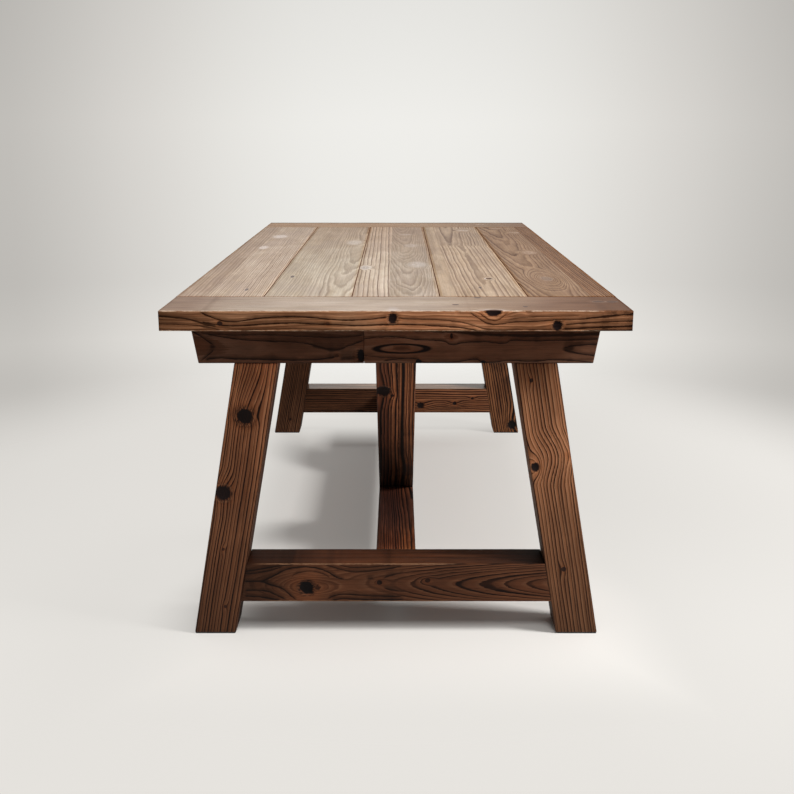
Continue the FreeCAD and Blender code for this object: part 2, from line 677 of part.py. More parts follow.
def make_stretcher():
    """The long low timber between the rails, with a nut pocket under each end."""
    body = new_body("stretcher")
    block_pad(body, ("Sizes.timber", "2 * Places.trestle_inside", "Sizes.timber"), "Y")
    round_edges(body, lambda middle, direction: runs_along(direction, "y"))
    for side in SIDES:
        pocket_along = (f"{side} * (Places.trestle_inside - Sizes.pocket_setback"
                        " - Sizes.pocket_length / 2)")
        height = "(Places.pocket_top - Sizes.rail_bottom)"
        box_cut(body, "NutPocket",
                ("0", pocket_along, f"{height} / 2 - Sizes.timber / 2"),
                ("Sizes.timber - 2 * Sizes.pocket_side_wall", "Sizes.pocket_length", height))
        mouth = {-1: "-Places.trestle_inside",
                 1: "Places.trestle_inside - Sizes.pocket_setback - Sizes.bore_spare"}[side]
        for across in SIDES:
            shank_hole(body, "RodHole", (f"{across} * Sizes.rod_spacing / 2", mouth, "0"),
                       "Sizes.rod_diameter", "Sizes.pocket_setback + Sizes.bore_spare",
                       way="along")
        for place in brace_screw_places():
            along = f"{side} * (Places.trestle_inside - {place})"
            shank_hole(body, "ScrewHole", ("0", along, "-Sizes.timber / 2"),
                       "Sizes.screw_diameter", "Sizes.timber")
            bore(body, "ScrewSeat", ("0", along, "-Sizes.timber / 2"),
                 "Sizes.screw_head_diameter + 2 * Sizes.seat_gap", "Sizes.screw_seat")
    stand(body, up="Places.rail_middle")


def make_brace(end, end_sign):
    """A brace from the stretcher up to the header and the underside of the top."""
    body = new_body(f"{end}_brace")
    corners = [("0", "Places.header_bottom"), ("Places.brace_toe", "Places.rail_top"),
               ("Places.brace_heel", "Places.rail_top"),
               ("Places.brace_head", "Places.top_underside"), ("0", "Places.top_underside")]
    pad(body, outline(body, "YZ_Plane", "Side", corners), "Blank", "Sizes.timber",
        symmetric=True)
    round_edges(body, lambda middle, direction: not any(
        runs_along(direction, axis) for axis in ("x", "y", "z")))
    for level in DOWEL_LEVELS:
        shank_hole(body, "DowelHole", ("0", "0", level), "Sizes.dowel_diameter",
                   "Sizes.dowel_length / 2 + Sizes.fit_gap", way="along")
    for place in brace_screw_places():
        shank_hole(body, "ScrewPilot", ("0", place, "Places.rail_top"), "Sizes.screw_diameter",
                   "Sizes.screw_seat + Sizes.screw_length - Sizes.timber + Sizes.bore_spare")
    stand(body, along=f"{end_sign} * Places.trestle_inside", turned=end_sign > 0)


def make_middle():
    make_stretcher()
    for end, end_sign in ENDS:
        make_brace(end, end_sign)


# ---------------------------------------------------------------- fasteners

def make_dowels():
    dowel = master_body("Dowel")
    section = circle(dowel, "XZ_Plane", "Section", "Sizes.dowel_diameter")
    pad(dowel, section, "Length", "Sizes.dowel_length", symmetric=True)
    copies("brace_dowels", dowel,
           [("0", f"{sign} * Places.trestle_inside", level, False)
            for end, sign in ENDS for level in DOWEL_LEVELS])


def make_brace_screws():
    screw = master_body("Brace_screw")
    head = circle(screw, "XY_Plane", "Head", "Sizes.screw_head_diameter",
                   "-Sizes.screw_head_height")
    pad(screw, head, "HeadPad", "Sizes.screw_head_height")
    shank = circle(screw, "XY_Plane", "Shank", "Sizes.screw_diameter")
    pad(screw, shank, "ShankPad", "Sizes.screw_length")
    copies("brace_screws", screw,
           [("0", f"{sign} * (Places.trestle_inside - {place})", "Places.screw_seat_level", False)
            for end, sign in ENDS for place in brace_screw_places()])


def make_top_fasteners():
    """Bolts up through the headers, their washers, and the inserts in the planks."""
    bolt = master_body("Top_bolt")
    head = hexagon(bolt, "XY_Plane", "Head", "Sizes.bolt_head_flats", "-Sizes.bolt_head_height")
    pad(bolt, head, "HeadPad", "Sizes.bolt_head_height")
    shank = circle(bolt, "XY_Plane", "Shank", "Sizes.top_bolt_diameter")
    pad(bolt, shank, "ShankPad", "Places.bolt_length + Sizes.washer_thickness")

    washer = master_body("Top_washer")
    plate = circle(washer, "XY_Plane", "Plate", "Sizes.top_washer_diameter")
    pad(washer, plate, "PlatePad", "Sizes.washer_thickness")
    shank_hole(washer, "Eye", ("0", "0", "0"), "Sizes.top_bolt_diameter",
               "Sizes.washer_thickness")

    insert = master_body("Top_insert")
    wall = circle(insert, "XY_Plane", "Wall", "Sizes.insert_diameter")
    pad(insert, wall, "WallPad", "Sizes.insert_length")
    shank_hole(insert, "Thread", ("0", "0", "0"), "Sizes.top_bolt_diameter",
               "Sizes.insert_length")

    spots = [(across, f"{sign} * (Places.trestle_middle - Places.bolt_line)")
             for end, sign in ENDS for across in TOP_BOLTS_ACROSS]
    for label, master, level in (
            ("top_bolts", bolt, "Places.bolt_seat_level - Sizes.washer_thickness"),
            ("top_washers", washer, "Places.bolt_seat_level - Sizes.washer_thickness"),
            ("top_inserts", insert, "Places.top_underside")):
        copies(label, master, [(across, along, level, False) for across, along in spots])


def make_stretcher_fasteners():
    """Threaded rods from the rails into the stretcher's pockets, with washers and nuts."""
    rod = master_body("Rod")
    section = circle(rod, "XZ_Plane", "Section", "Sizes.rod_diameter")
    pad(rod, section, "Length", "Places.rod_length", reverse=True)

    plate = master_body("Rod_washer")
    ring = circle(plate, "XZ_Plane", "Plate", "Sizes.rod_washer_diameter")
    pad(plate, ring, "PlatePad", "Sizes.washer_thickness", reverse=True)
    shank_hole(plate, "Eye", ("0", "0", "0"), "Sizes.rod_diameter", "Sizes.washer_thickness",
               way="along")

    nut = master_body("Rod_nut")
    pad(nut, hexagon(nut, "XZ_Plane", "Faces", "Sizes.nut_flats"), "NutPad",
        "Sizes.nut_height", reverse=True)
    shank_hole(nut, "Thread", ("0", "0", "0"), "Sizes.rod_diameter", "Sizes.nut_height",
               way="along")

    for label, master, start in (
            ("stretcher_rods", rod, "-Sizes.rod_embed"),
            ("stretcher_washers", plate, "Sizes.pocket_setback"),
            ("stretcher_nuts", nut, "(Sizes.pocket_setback + Sizes.washer_thickness)")):
        copies(label, master,
               [(f"{side} * Sizes.rod_spacing / 2",
                 f"{sign} * (Places.trestle_inside - {start})",
                 "Places.rail_middle", sign > 0)
                for end, sign in ENDS for side in SIDES])


# ---------------------------------------------------------------- the table

make_top()
make_batten()
make_trestles()
make_middle()
make_dowels()
make_brace_screws()
make_top_fasteners()
make_stretcher_fasteners()
doc.recompute()

for thing in doc.Objects:
    if {"Invalid", "Error"} & set(thing.State):
        raise RuntimeError(f"{thing.Label} failed: {thing.State}")
for thing in sub_parts:
    if thing.Shape.isNull() or not thing.Shape.isValid() or not thing.Shape.Solids:
        raise RuntimeError(f"{thing.Label} has no valid shape")

os.makedirs("parts", exist_ok=True)
for thing in sub_parts:
    thing.Shape.exportStep(f"parts/{thing.Label}.step")
print(f"{len(sub_parts)} sub-parts, {sum(len(thing.Shape.Solids) for thing in sub_parts)} solids")
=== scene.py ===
import math

import bmesh
import bpy
from mathutils import Matrix, Vector


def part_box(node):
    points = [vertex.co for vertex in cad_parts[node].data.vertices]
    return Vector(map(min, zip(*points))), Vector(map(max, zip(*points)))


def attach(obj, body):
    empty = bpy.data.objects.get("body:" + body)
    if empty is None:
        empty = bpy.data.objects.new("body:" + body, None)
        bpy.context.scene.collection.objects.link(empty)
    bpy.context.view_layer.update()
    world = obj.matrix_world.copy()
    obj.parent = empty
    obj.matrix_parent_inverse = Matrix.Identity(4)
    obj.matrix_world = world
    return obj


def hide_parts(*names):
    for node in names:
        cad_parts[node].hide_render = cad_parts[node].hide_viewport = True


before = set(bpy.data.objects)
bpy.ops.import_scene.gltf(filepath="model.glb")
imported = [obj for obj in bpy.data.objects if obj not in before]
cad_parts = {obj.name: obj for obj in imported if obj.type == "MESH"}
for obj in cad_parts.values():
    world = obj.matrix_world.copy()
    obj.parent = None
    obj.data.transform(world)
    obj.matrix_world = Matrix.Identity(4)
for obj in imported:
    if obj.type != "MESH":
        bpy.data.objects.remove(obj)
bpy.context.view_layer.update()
mm = 0.001
right, back, up = Vector((1, 0, 0)), Vector((0, 1, 0)), Vector((0, 0, 1))
print("frame loaded:", len(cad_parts), "nodes")

# the base timbers: sizes in millimetres, the legs' lean, and how their surfaces are worn
timber = dict(side=91, arris=1.8, lean=math.radians(10), wear=0.45, wearSpread=0.1)
halfSide = timber["side"] / 2


def pick(piece=None):
    # an operator acts on all that is selected, so only this piece is
    if bpy.context.mode != "OBJECT":
        bpy.ops.object.mode_set(mode="OBJECT")
    bpy.ops.object.select_all(action="DESELECT")
    if piece:
        piece.select_set(True)
        bpy.context.view_layer.objects.active = piece


def editPiece(piece, mode="VERT", action="DESELECT"):
    pick(piece)
    bpy.ops.object.mode_set(mode="EDIT")
    bpy.ops.mesh.select_mode(type=mode)
    bpy.ops.mesh.select_all(action=action)
    return bmesh.from_edit_mesh(piece.data)


def choose(piece, parts, test):
    # selects the parts of the open mesh that pass the test, and says how many did
    found = 0
    for part in parts:
        keep = bool(test(part))
        part.select_set(keep)
        found += keep
    bmesh.update_edit_mesh(piece.data)
    return found


def along(edge):
    return (edge.verts[1].co - edge.verts[0].co).normalized()


def startBox(name, low, high, *loops):
    # a box, with so many edge loops across each direction that is named
    pick()
    bpy.ops.mesh.primitive_cube_add(size=1, location=(low + high) / 2, scale=high - low)
    piece = bpy.context.object
    piece.name = piece.data.name = name
    bpy.ops.object.transform_apply(location=True, rotation=True, scale=True)
    for direction, count in loops:
        mesh = editPiece(piece, "EDGE")
        choose(piece, mesh.edges, lambda edge: abs(along(edge).dot(direction)) > 0.999)
        bpy.ops.mesh.subdivide(number_cuts=count)
    return piece


def scoreLine(piece, at, normal, **saw):
    # an edge loop right through the piece at one plane
    editPiece(piece, action="SELECT")
    bpy.ops.mesh.bisect(plane_co=at, plane_no=normal, **saw)


def sawOff(piece, at, outward):
    # a flat cut whose waste lies on the outward side, and whose face is closed
    scoreLine(piece, at, outward, use_fill=True, clear_outer=True)


def easeEdges(piece, width=timber["arris"], segments=3):
    # rounds every sharp arris
    editPiece(piece, "EDGE")
    bpy.ops.mesh.edges_select_sharp(sharpness=math.radians(30))
    bpy.ops.mesh.bevel(offset=width * mm, segments=segments, profile=0.5, clamp_overlap=False)


def turnPiece(piece, angle, axis, centre):
    editPiece(piece, action="SELECT")
    # with no window the operator turns the other way
    bpy.ops.transform.rotate(value=-angle, orient_axis=axis, center_override=centre)


def applyNew(piece, kind, **settings):
    # a modifier that is added and applied at once
    modifier = piece.modifiers.new(kind, kind)
    for name, value in settings.items():
        setattr(modifier, name, value)
    pick(piece)
    bpy.ops.object.modifier_apply(modifier=modifier.name)


def cutAway(piece, cutter):
    applyNew(piece, "BOOLEAN", operation="DIFFERENCE", solver="EXACT", object=cutter)
    bpy.data.objects.remove(cutter)


def drillUp(piece, at, radius, depth):
    # a round hole from the underside
    pick()
    bpy.ops.mesh.primitive_cylinder_add(vertices=40, radius=radius, depth=2 * depth, location=at)
    cutAway(piece, bpy.context.object)


def wearSurface(piece, depth, spread):
    # planes the surface down unevenly, never outwards
    clouds = bpy.data.textures.new("clouds", type="CLOUDS")
    clouds.noise_scale, clouds.noise_depth = spread, 2
    applyNew(piece, "DISPLACE", texture=clouds, texture_coords="LOCAL", strength=depth, mid_level=1.0)


def finishPiece(piece, slot, materials, *nodes):
    pick(piece)
    bpy.ops.object.shade_smooth_by_angle(angle=math.radians(40))
    piece.data.materials.clear()
    for material in materials:
        piece.data.materials.append(material)
    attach(piece, "root")
    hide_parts(*nodes)


class Socket:
    # a shader output that Python sums can use: each sum adds its Math node
    def __init__(self, tree, out):
        self.tree, self.out = tree, out

    def __add__(self, other):
        return self.tree.sum("ADD", self, other)

    def __sub__(self, other):
        return self.tree.sum("SUBTRACT", self, other)

    def __rsub__(self, other):
        return self.tree.sum("SUBTRACT", other, self)

    def __mul__(self, other):
        return self.tree.sum("MULTIPLY", self, other)

    def __abs__(self):
        return self.tree.sum("ABSOLUTE", self)

    __radd__, __rmul__ = __add__, __mul__


class ShaderTree:
    def __init__(self, owner):
        owner.use_nodes = True
        self.tree = owner.node_tree
        self.tree.nodes.clear()

    def node(self, kind, settings, sockets, out=0):
        item = self.tree.nodes.new("ShaderNode" + kind)
        for name, value in settings.items():
            if name == "stops":
                self.fillRamp(item.color_ramp, value)
            elif name == "path":
                self.fillCurve(item.mapping, value)
            else:
                setattr(item, name, value)
        for key, value in sockets.items():
            if isinstance(value, Socket):
                self.tree.links.new(value.out, item.inputs[key])
            else:
                item.inputs[key].default_value = value
        return Socket(self, item.outputs[out]) if len(item.outputs) else None

    def fillRamp(self, ramp, stops):
        while len(ramp.elements) < len(stops):
            ramp.elements.new(0.5)
        for element, (place, shade) in zip(ramp.elements, stops):
            element.position = place
            element.color = (*shade[:3], 1) if isinstance(shade, tuple) else (shade, shade, shade, 1)

    def fillCurve(self, mapping, path):
        points = mapping.curves[0].points
        while len(points) < len(path):
            points.new(0.5, 0.5)
        for point, place in zip(points, path):
            point.location = place
        mapping.update()

    def sum(self, operation, *values):
        return self.node("Math", {"operation": operation}, dict(enumerate(values)))

    def most(self, first, second):
        return self.sum("MAXIMUM", first, second)

    def vector(self, operation, *values, out=0):
        return self.node("VectorMath", {"operation": operation}, dict(enumerate(values)), out)

    def length(self, vector):
        return self.vector("LENGTH", vector, out="Value")

    def dot(self, first, second):
        return self.vector("DOT_PRODUCT", first, second, out="Value")

    def part(self, vector, axis):
        return self.node("SeparateXYZ", {}, {0: vector}, axis)

    def place(self, vector, at, scale, turn=(0, 0, 0)):
        return self.node("Mapping", {"vector_type": "TEXTURE"},
                         {"Vector": vector, "Location": at, "Rotation": turn, "Scale": scale})

    def stretch(self, vector, scale, shift=(0, 0, 0)):
        return self.node("Mapping", {}, {"Vector": vector, "Location": shift, "Scale": scale})

    def noise(self, vector, scale, detail=2, rough=0.5, out="Fac"):
        return self.node("TexNoise", {}, {
            "Vector": vector, "Scale": scale, "Detail": detail, "Roughness": rough}, out)

    def grained(self, board, squeeze, shift, *noise):
        # noise that is drawn out along the grain
        return self.noise(self.stretch(board, (squeeze, 1, 1), shift), *noise)

    def lineNoise(self, value, scale, detail=0):
        return self.node("TexNoise", {"noise_dimensions": "1D"}, {
            "W": value, "Scale": scale, "Detail": detail})

    def fade(self, value, start, end, first=1, last=0, kind="SMOOTHSTEP"):
        return self.node("MapRange", {"interpolation_type": kind}, {
            "Value": value, "From Min": start, "From Max": end, "To Min": first, "To Max": last})

    def slope(self, value, start, end, first=0, last=1):
        return self.fade(value, start, end, first, last, "LINEAR")

    def ramp(self, value, stops):
        return self.node("ValToRGB", {"stops": stops}, {"Fac": value})

    def blend(self, factor, first, second, kind="MIX"):
        return self.node("Mix", {"data_type": "RGBA", "blend_type": kind}, {
            0: factor, 6: first, 7: second}, 2)

    def mix(self, factor, first, second):
        return self.node("MixShader", {}, {0: factor, 1: first, 2: second})

    def bump(self, height, strength, distance):
        return self.node("Bump", {}, {"Strength": strength, "Distance": distance, "Height": height})

    def finish(self, sockets):
        self.node("OutputMaterial", {}, {"Surface": self.node("BsdfPrincipled", {}, sockets)})


def startMaterial(name):
    material = bpy.data.materials.new(name)
    tree = ShaderTree(material)
    return material, tree, tree.node("TexCoord", {}, {}, "Object")


def tone(red, green, blue):
    # an sRGB colour, 0 to 255, as the linear colour that a shader takes
    parts = [c / 255 for c in (red, green, blue)]
    return (*[c / 12.92 if c <= 0.04045 else ((c + 0.055) / 1.055) ** 2.4 for c in parts], 1)


def shaded(colour, shade):
    return (*[part * share for part, share in zip(colour, shade)], 1)


farAway = 1e6  # a scale at which one direction no longer counts


def turnOf(wood):
    # the turn that carries x, y, z to the wood's length, depth and width
    grain, depthWay = wood["grain"], wood["depthWay"]
    return Matrix((grain, depthWay, grain.cross(depthWay))).transposed().to_euler()


def woodPlace(wood, at):
    # a place in the wood's own millimetres, as one in the frame
    return wood["centre"] + turnOf(wood).to_matrix() @ (Vector(at) * mm)


def knotAt(at, size, lift, dark=1, **more):
    # its place in the wood, its radius, how many years it pushes aside and how dark it is
    return dict(at=at, size=size, lift=lift, dark=dark, **more)


def growth(tree, wood, board):
    # year rings about a pith that wanders, pushed aside by swells and knots, and the knots' own marks
    seed = wood["seed"]
    sway = tree.grained(board, 0.2, (seed, seed * 2.3, 0), 0.014, 3, 0.5, "Color")
    sway = tree.vector("SUBTRACT", sway, (0.5, 0.5, 0.5))
    bent = tree.vector("MULTIPLY_ADD", sway, (0, wood["wander"], wood["wander"]), board)
    ragged = tree.grained(board, 0.6, (0, seed, 0), 0.13, 3, 0.6, "Color")
    ragged = tree.vector("SUBTRACT", ragged, (0.5, 0.5, 0.5))

    leanDepth, leanAcross = [math.radians(a) for a in wood["lean"]]
    gap = wood["rings"]
    trunk = tree.place(bent, (0, *wood["pith"]), (farAway, gap, gap), (0, leanAcross, leanDepth))
    rings = tree.length(trunk)
    for at, size, lift in wood["swells"]:
        rings = rings - tree.fade(tree.length(tree.place(bent, at, size)), 0, 1, lift, 0)
    dark, halo, rimHighlight, line = 0.0, 0.0, 0.0, 0.0
    hairs = tree.fade(tree.grained(board, 0.07, (0, 0, seed * 5), 0.55, 2, 0.6), 0.46, 0.56, 0, 1)
    for knot in wood["knots"]:
        radius = knot["size"]
        through = {"depth": 1, "across": 2}[knot.get("through", "depth")]
        deep = knot.get("deep", farAway)
        coreSize = [radius * knot.get("long", 1.1), radius, radius]
        coreSize[through] = deep
        eyeWide = radius * knot.get("eyeWide", 2.8)
        eyeSize = [radius * knot.get("eyeLong", 6.0), eyeWide, eyeWide]
        eyeSize[through] = deep * 2
        lift = tree.fade(tree.length(tree.place(bent, knot["at"], eyeSize)), 0, 1, knot["lift"], 0)
        if knot.get("side"):
            # the years swing wide on one side of this knot only
            start, end = [knot["at"][0] + knot["side"] * radius * share for share in (-1.2, 0.4)]
            lift = lift * tree.fade(tree.part(board, "X"), start, end, knot.get("rest", 0.15), 1)
        rings = rings - lift
        torn = radius * knot.get("torn", 0.7 if knot["dark"] > 0.45 else 1.8)
        torn = tree.vector("MULTIPLY_ADD", ragged, (torn, torn, torn), board)
        core = tree.length(tree.place(torn, knot["at"], coreSize))
        dark = tree.most(dark, tree.fade(core, 0.85, 1.1, knot["dark"], 0))
        halo = tree.most(halo, tree.fade(core, 1.0, knot.get("glow", 2.6)))
        if radius >= 9 and knot["dark"] > 0.5:
            # hair cracks about the knot, and a painted highlight on its rim
            dark = tree.most(dark, tree.fade(core, 0.95, knot.get("hairs", 1.7)) * (0.3 + hairs * 0.7))
            rimHighlight = tree.most(rimHighlight, tree.fade(abs(core - 1.22), 0.04, 0.2))
    for at, size, width in wood["ovals"]:
        reach = tree.length(tree.place(bent, at, size))
        line = tree.most(line, tree.fade(abs(reach - 1), width * 0.3, width))
    if wood["strokes"]:
        line = tree.most(line, strokeMarks(tree, wood, board, ragged))
    return rings, ragged, {"dark": dark, "halo": halo, "rimHighlight": rimHighlight, "line": line}


curveReach = 120  # millimetres across the wood that a drawn curve spans, from 0 to 1
strokeEnd, arrisEnd = 10, 60  # millimetres over which a stroke and an arris's tone fade in and out


def strokeMarks(tree, wood, board, ragged):
    # single dark years, each drawn by the places it passes: along the grain, and across it
    loose = tree.vector("MULTIPLY_ADD", ragged, (2.5, 2.5, 2.5), board)
    alongPart, acrossPart = [tree.part(loose, axis) for axis in "XZ"]
    swelling = tree.slope(tree.lineNoise(alongPart, 0.03, 1), 0.3, 0.7, 0.65, 1.45)
    marks = 0.0
    for width, dark, path in wood["strokes"]:
        start, end = path[0][0], path[-1][0]
        places = [((a - start) / (end - start), u / curveReach + 0.5) for a, u in path]
        drawn = tree.node("FloatCurve", {"path": places}, {"Value": tree.slope(alongPart, start, end)})
        off = (acrossPart - (drawn - 0.5) * curveReach) * swelling
        mark = tree.fade(abs(off), width * 0.25, width, dark, 0)
        # the year's wood has darkened slowly up to its line
        slow = tree.fade(off, width * 0.5, width * 4, dark * 0.62, 0) * tree.fade(off, -0.5, 0.5, 0, 1)
        ends = tree.fade(alongPart, start, start + strokeEnd, 0, 1)
        ends = ends * tree.fade(alongPart, end - strokeEnd, end)
        marks = tree.most(marks, tree.most(mark, slow) * ends)
    return marks


def palette(tree, wood, upward):
    # the stain, and where the wood is washed and lit, the paler tones of its upper face: partly weathering,
    # partly painted light and sheen
    stain = {key: shaded(colour, wood["shade"]) for key, colour in wood["tones"].items()}
    if not wood["washedAndLit"]:
        return stain
    return {key: tree.blend(upward, stain[key], shaded(wood["washAndLightTones"][key], wood["washAndLightShade"]))
            for key in stain}


def toneAndShadeDrift(tree, board, cloud, drifts):
    # how the tone of the whole timber changes along an axis, in millimetres, partly its own tone and partly
    # painted light and shade; the cloud keeps it loose
    whole = None
    for axis, stops in drifts.items():
        start, end = stops[0][0], stops[-1][0]
        share = tree.slope(tree.part(board, axis) + cloud * ((end - start) * 0.12), start, end)
        tint = tree.ramp(share, [((at - start) / (end - start), shade) for at, shade in stops])
        whole = tree.blend(1, whole, tint, "MULTIPLY") if whole else tint
    return whole


def edgeMarks(tree, wood, board, ragged):
    # near an arris two faces are close at once; a seam lies along a side or an end. A pale arris is partly
    # wear and partly a painted highlight; a dark arris is simply darker
    torn = tree.vector("MULTIPLY_ADD", ragged, (5, 5, 5), board)
    alongPart, depthPart, acrossPart = [tree.part(torn, axis) for axis in "XYZ"]
    halfLength, halfDepth, halfAcross = wood["half"]
    inside = tree.most(halfDepth - abs(depthPart), halfAcross - abs(acrossPart))
    arris = tree.fade(inside, 0.5, wood["wear"], wood["wearTone"], 0)
    start, end = wood["arrisSpan"]
    arris = arris * tree.fade(alongPart, end - arrisEnd, end)
    arris = arris * tree.fade(alongPart, start, start + arrisEnd, 0, 1)
    if not wood["seam"]:
        return arris, 0.0
    side = tree.fade(halfAcross - abs(tree.part(board, "Z")), 0.6, wood["seam"])
    end = tree.fade(halfLength - abs(tree.part(board, "X")), 0.6, wood["seam"], 0.8, 0)
    return arris, tree.most(side, end)


def woodMaterial(name, wood):
    material, tree, space = startMaterial(name)
    seed = wood["seed"]
    # the wood's own millimetres: x with the grain, y into the depth, z across
    board = tree.place(space, wood["centre"], (mm, mm, mm), turnOf(wood))
    rings, ragged, marks = growth(tree, wood, board)

    # each year's wood darkens slowly and ends sharply, and no two years are alike
    fibre = tree.grained(board, 0.012, (seed, 0, 0), 0.5, 4, 0.75)
    rings = rings + tree.lineNoise(rings, 0.45, 1) * wood["uneven"]
    phase = tree.sum("FRACT", rings + fibre * wood["hairy"])
    width = (tree.lineNoise(rings, 1.3) - 0.5) * wood["spread"]
    late = tree.ramp(phase + width, wood["lateStops"])
    strength = tree.slope(tree.lineNoise(rings, 0.83, 1), 0.3, 0.65, wood["faint"])
    stripe = tree.grained(board, 0.05, (0, seed, seed), 0.05)
    late = late * strength * tree.slope(stripe, 0.3, 0.6, 0.7) * wood["lines"]
    if wood["bare"]:
        # up to here along the grain the years are drawn singly
        start, end, left = wood["bare"]
        late = late * tree.fade(tree.part(board, "X"), start, end, left, 1)
    late = tree.most(late, marks["line"])
    fine = tree.sum("PINGPONG", rings * 3 + fibre * 0.6, 1) * wood["fine"]
    late = late + (1 - late) * fine * 0.5

    # ground, warm patches, spring wood, stain, glaze, the wood by the knots, then the lines
    normal = tree.node("NewGeometry", {}, {}, "Normal")
    facingUp = tree.part(normal, "Z")
    upward = tree.fade(facingUp, 0.55, 0.9, 0, 1)
    tones = palette(tree, wood, upward)
    patch = tree.grained(board, 0.22, (0, 0, seed), 0.021, 3, 0.6)
    colour = tree.blend(tree.slope(patch, 0.3, 0.7), tones["early"], tones["warm"])
    colour = tree.blend(tree.fade(phase, 0.02, 0.35, wood["spring"], 0), colour, tones["pale"])
    blotch = tree.grained(board, 0.4, (seed, 0, seed), 0.012, 4, 0.65)
    colour = tree.blend(tree.fade(blotch, 0.42, 0.66, 0, wood["stain"]), colour, tones["stain"])
    if wood["glaze"]:
        colour = tree.blend(tree.fade(blotch, 0.34, 0.5, wood["glaze"], 0), colour, tones["pale"])
    line = tones["late"]
    if wood["knots"]:
        colour = tree.blend(marks["halo"] * 0.6, colour, tones["halo"])
        line = tree.blend(marks["halo"], line, tones["knotLine"])
    colour = tree.blend(late, colour, line)
    # slow changes of tone, some of them painted light and shade
    sideTone, topTone = [toneAndShadeDrift(tree, board, patch - 0.5, wood[key]) for key in ("drift", "topDrift")]
    if sideTone or topTone:
        both = tree.blend(upward, sideTone or (1, 1, 1, 1), topTone or sideTone)
        colour = tree.blend(1, colour, both, "MULTIPLY")

    # fibres, short flecks and end grain
    streak = tree.slope(fibre, 0.25, 0.75)
    grey = tree.ramp(streak, [(0.0, 0.2), (0.55, 0.5), (1.0, 0.8)])
    colour = tree.blend(wood["fibre"], colour, grey, "OVERLAY")
    fleck = tree.grained(board, 0.05, (seed * 3, 0, 0), 0.7, 1)
    colour = tree.blend(tree.fade(fleck, 0.62, 0.74, 0, wood["flecks"]), colour, tones["late"])
    endOn = abs(tree.dot(normal, wood["grain"]))
    colour = tree.blend(tree.fade(endOn, 0.8, 0.95, 0, 0.55), colour, tones["end"])

    arris, seam = edgeMarks(tree, wood, board, ragged)
    # the arris tone: a pale arris is wear together with a painted highlight
    colour = tree.blend(arris, colour, tones[wood["edge"]])
    if wood["seam"]:
        colour = tree.blend(seam, colour, tones["grime"])
    if wood["knots"]:
        # a painted highlight on the rims of the large dark knots
        colour = tree.blend(marks["rimHighlight"] * streak * 0.3, colour, tones["pale"])
        colour = tree.blend(marks["dark"], colour, tree.blend(streak * 0.4, tones["knot"], tones["knotRim"]))
    height = late * 0.6 + streak * 0.3 - marks["dark"] * 0.8
    sockets = {
        "Base Color": colour, "Specular IOR Level": wood["gloss"],
        "Roughness": tree.slope(streak, 0, 1, wood["rough"] - 0.06, wood["rough"] + 0.08),
        "Normal": tree.bump(height, wood["relief"], 0.0009)}
    if wood["sheen"]:
        # the sealer has kept its sheen on the face that lies upward
        coat = tree.fade(facingUp, 0.993, 0.999, 0, wood["sheen"])
        sockets["Coat Weight"] = coat * (1 - seam) if wood["seam"] else coat
        sockets["Coat Roughness"] = wood["sheenRough"]
    tree.finish(sockets)
    return material


# the pale arris tones are partly wear and partly a painted highlight; the dark arris tones are simply darker
baseTones = dict(
    early=tone(160, 104, 68), warm=tone(132, 81, 50), pale=tone(176, 126, 88), late=tone(22, 8, 4),
    stain=tone(54, 33, 23), halo=tone(146, 86, 50), knotLine=tone(26, 10, 4), worn=tone(196, 150, 108),
    burnt=tone(30, 16, 10), knot=tone(12, 10, 10), knotRim=tone(42, 22, 13), grime=tone(34, 16, 9),
    end=tone(62, 38, 26))
# tones of the upper faces; their pale knotLine is a painted sheen on the knots' bumps
topTones = dict(
    early=tone(196, 172, 146), warm=tone(178, 153, 123), pale=tone(208, 188, 164), late=tone(112, 84, 63),
    stain=tone(150, 127, 113), halo=tone(186, 166, 148), knotLine=tone(222, 211, 200),
    worn=tone(228, 208, 182), burnt=tone(120, 92, 72), knot=tone(76, 60, 52), knotRim=tone(122, 98, 86),
    grime=tone(122, 78, 54), end=tone(150, 120, 96))
jointTones = dict(
    baseTones, early=tone(205, 168, 122), warm=tone(192, 153, 106), pale=tone(222, 190, 148),
    late=tone(146, 106, 66), stain=tone(170, 130, 88), worn=tone(214, 180, 136), burnt=tone(150, 112, 74),
    end=tone(160, 122, 82))

# how dark a year is from its start to its end
boldLate = [(0, 0), (0.32, 0.12), (0.5, 0.36), (0.63, 0.92), (0.7, 1), (0.93, 1), (1, 0)]
thinLate = [(0, 0), (0.4, 0.08), (0.62, 0.26), (0.74, 0.92), (0.8, 1), (0.94, 1), (1, 0)]
softLate = [(0, 0), (0.3, 0.1), (0.6, 0.55), (0.8, 1), (0.9, 0.8), (1, 0)]


def woodOf(*looks, **changes):
    # what a piece of wood is like, where its own dictionaries say nothing else; lengths in millimetres
    wood = dict(
        centre=Vector(), grain=right, depthWay=back, half=(500, halfSide, halfSide), seed=0,
        rings=7.5, pith=(60, 0), lean=(0, 0), wander=14, uneven=0.9, hairy=0.28, spread=0.3,
        swells=[], knots=[], ovals=[], strokes=[], checks=[], drift={}, topDrift={}, bare=(),
        tones=baseTones, shade=(1, 1, 1), washedAndLit=False, washAndLightTones=topTones, washAndLightShade=(1, 1, 1),
        lateStops=boldLate, lines=1.2, faint=0.72, fine=0.25, fibre=0.6, spring=0.35, stain=0.3,
        glaze=0, sheen=0, sheenRough=0.3, flecks=0.35, edge="burnt", wear=4, wearTone=0.55,
        arrisSpan=(-9999, 9999), seam=0, rough=0.62, relief=0.7, gloss=0.1)
    for look in (*looks, changes):
        wood.update(look)
    return wood


# which knots are sunk: from what size and darkness; then shares of a knot's radius: how far about it
# the mesh is divided, how much of it sinks, how deep, and how far the slope reaches
hollow = dict(size=6, dark=0.8, divided=1.6, core=0.45, depth=0.22, slope=1.1)


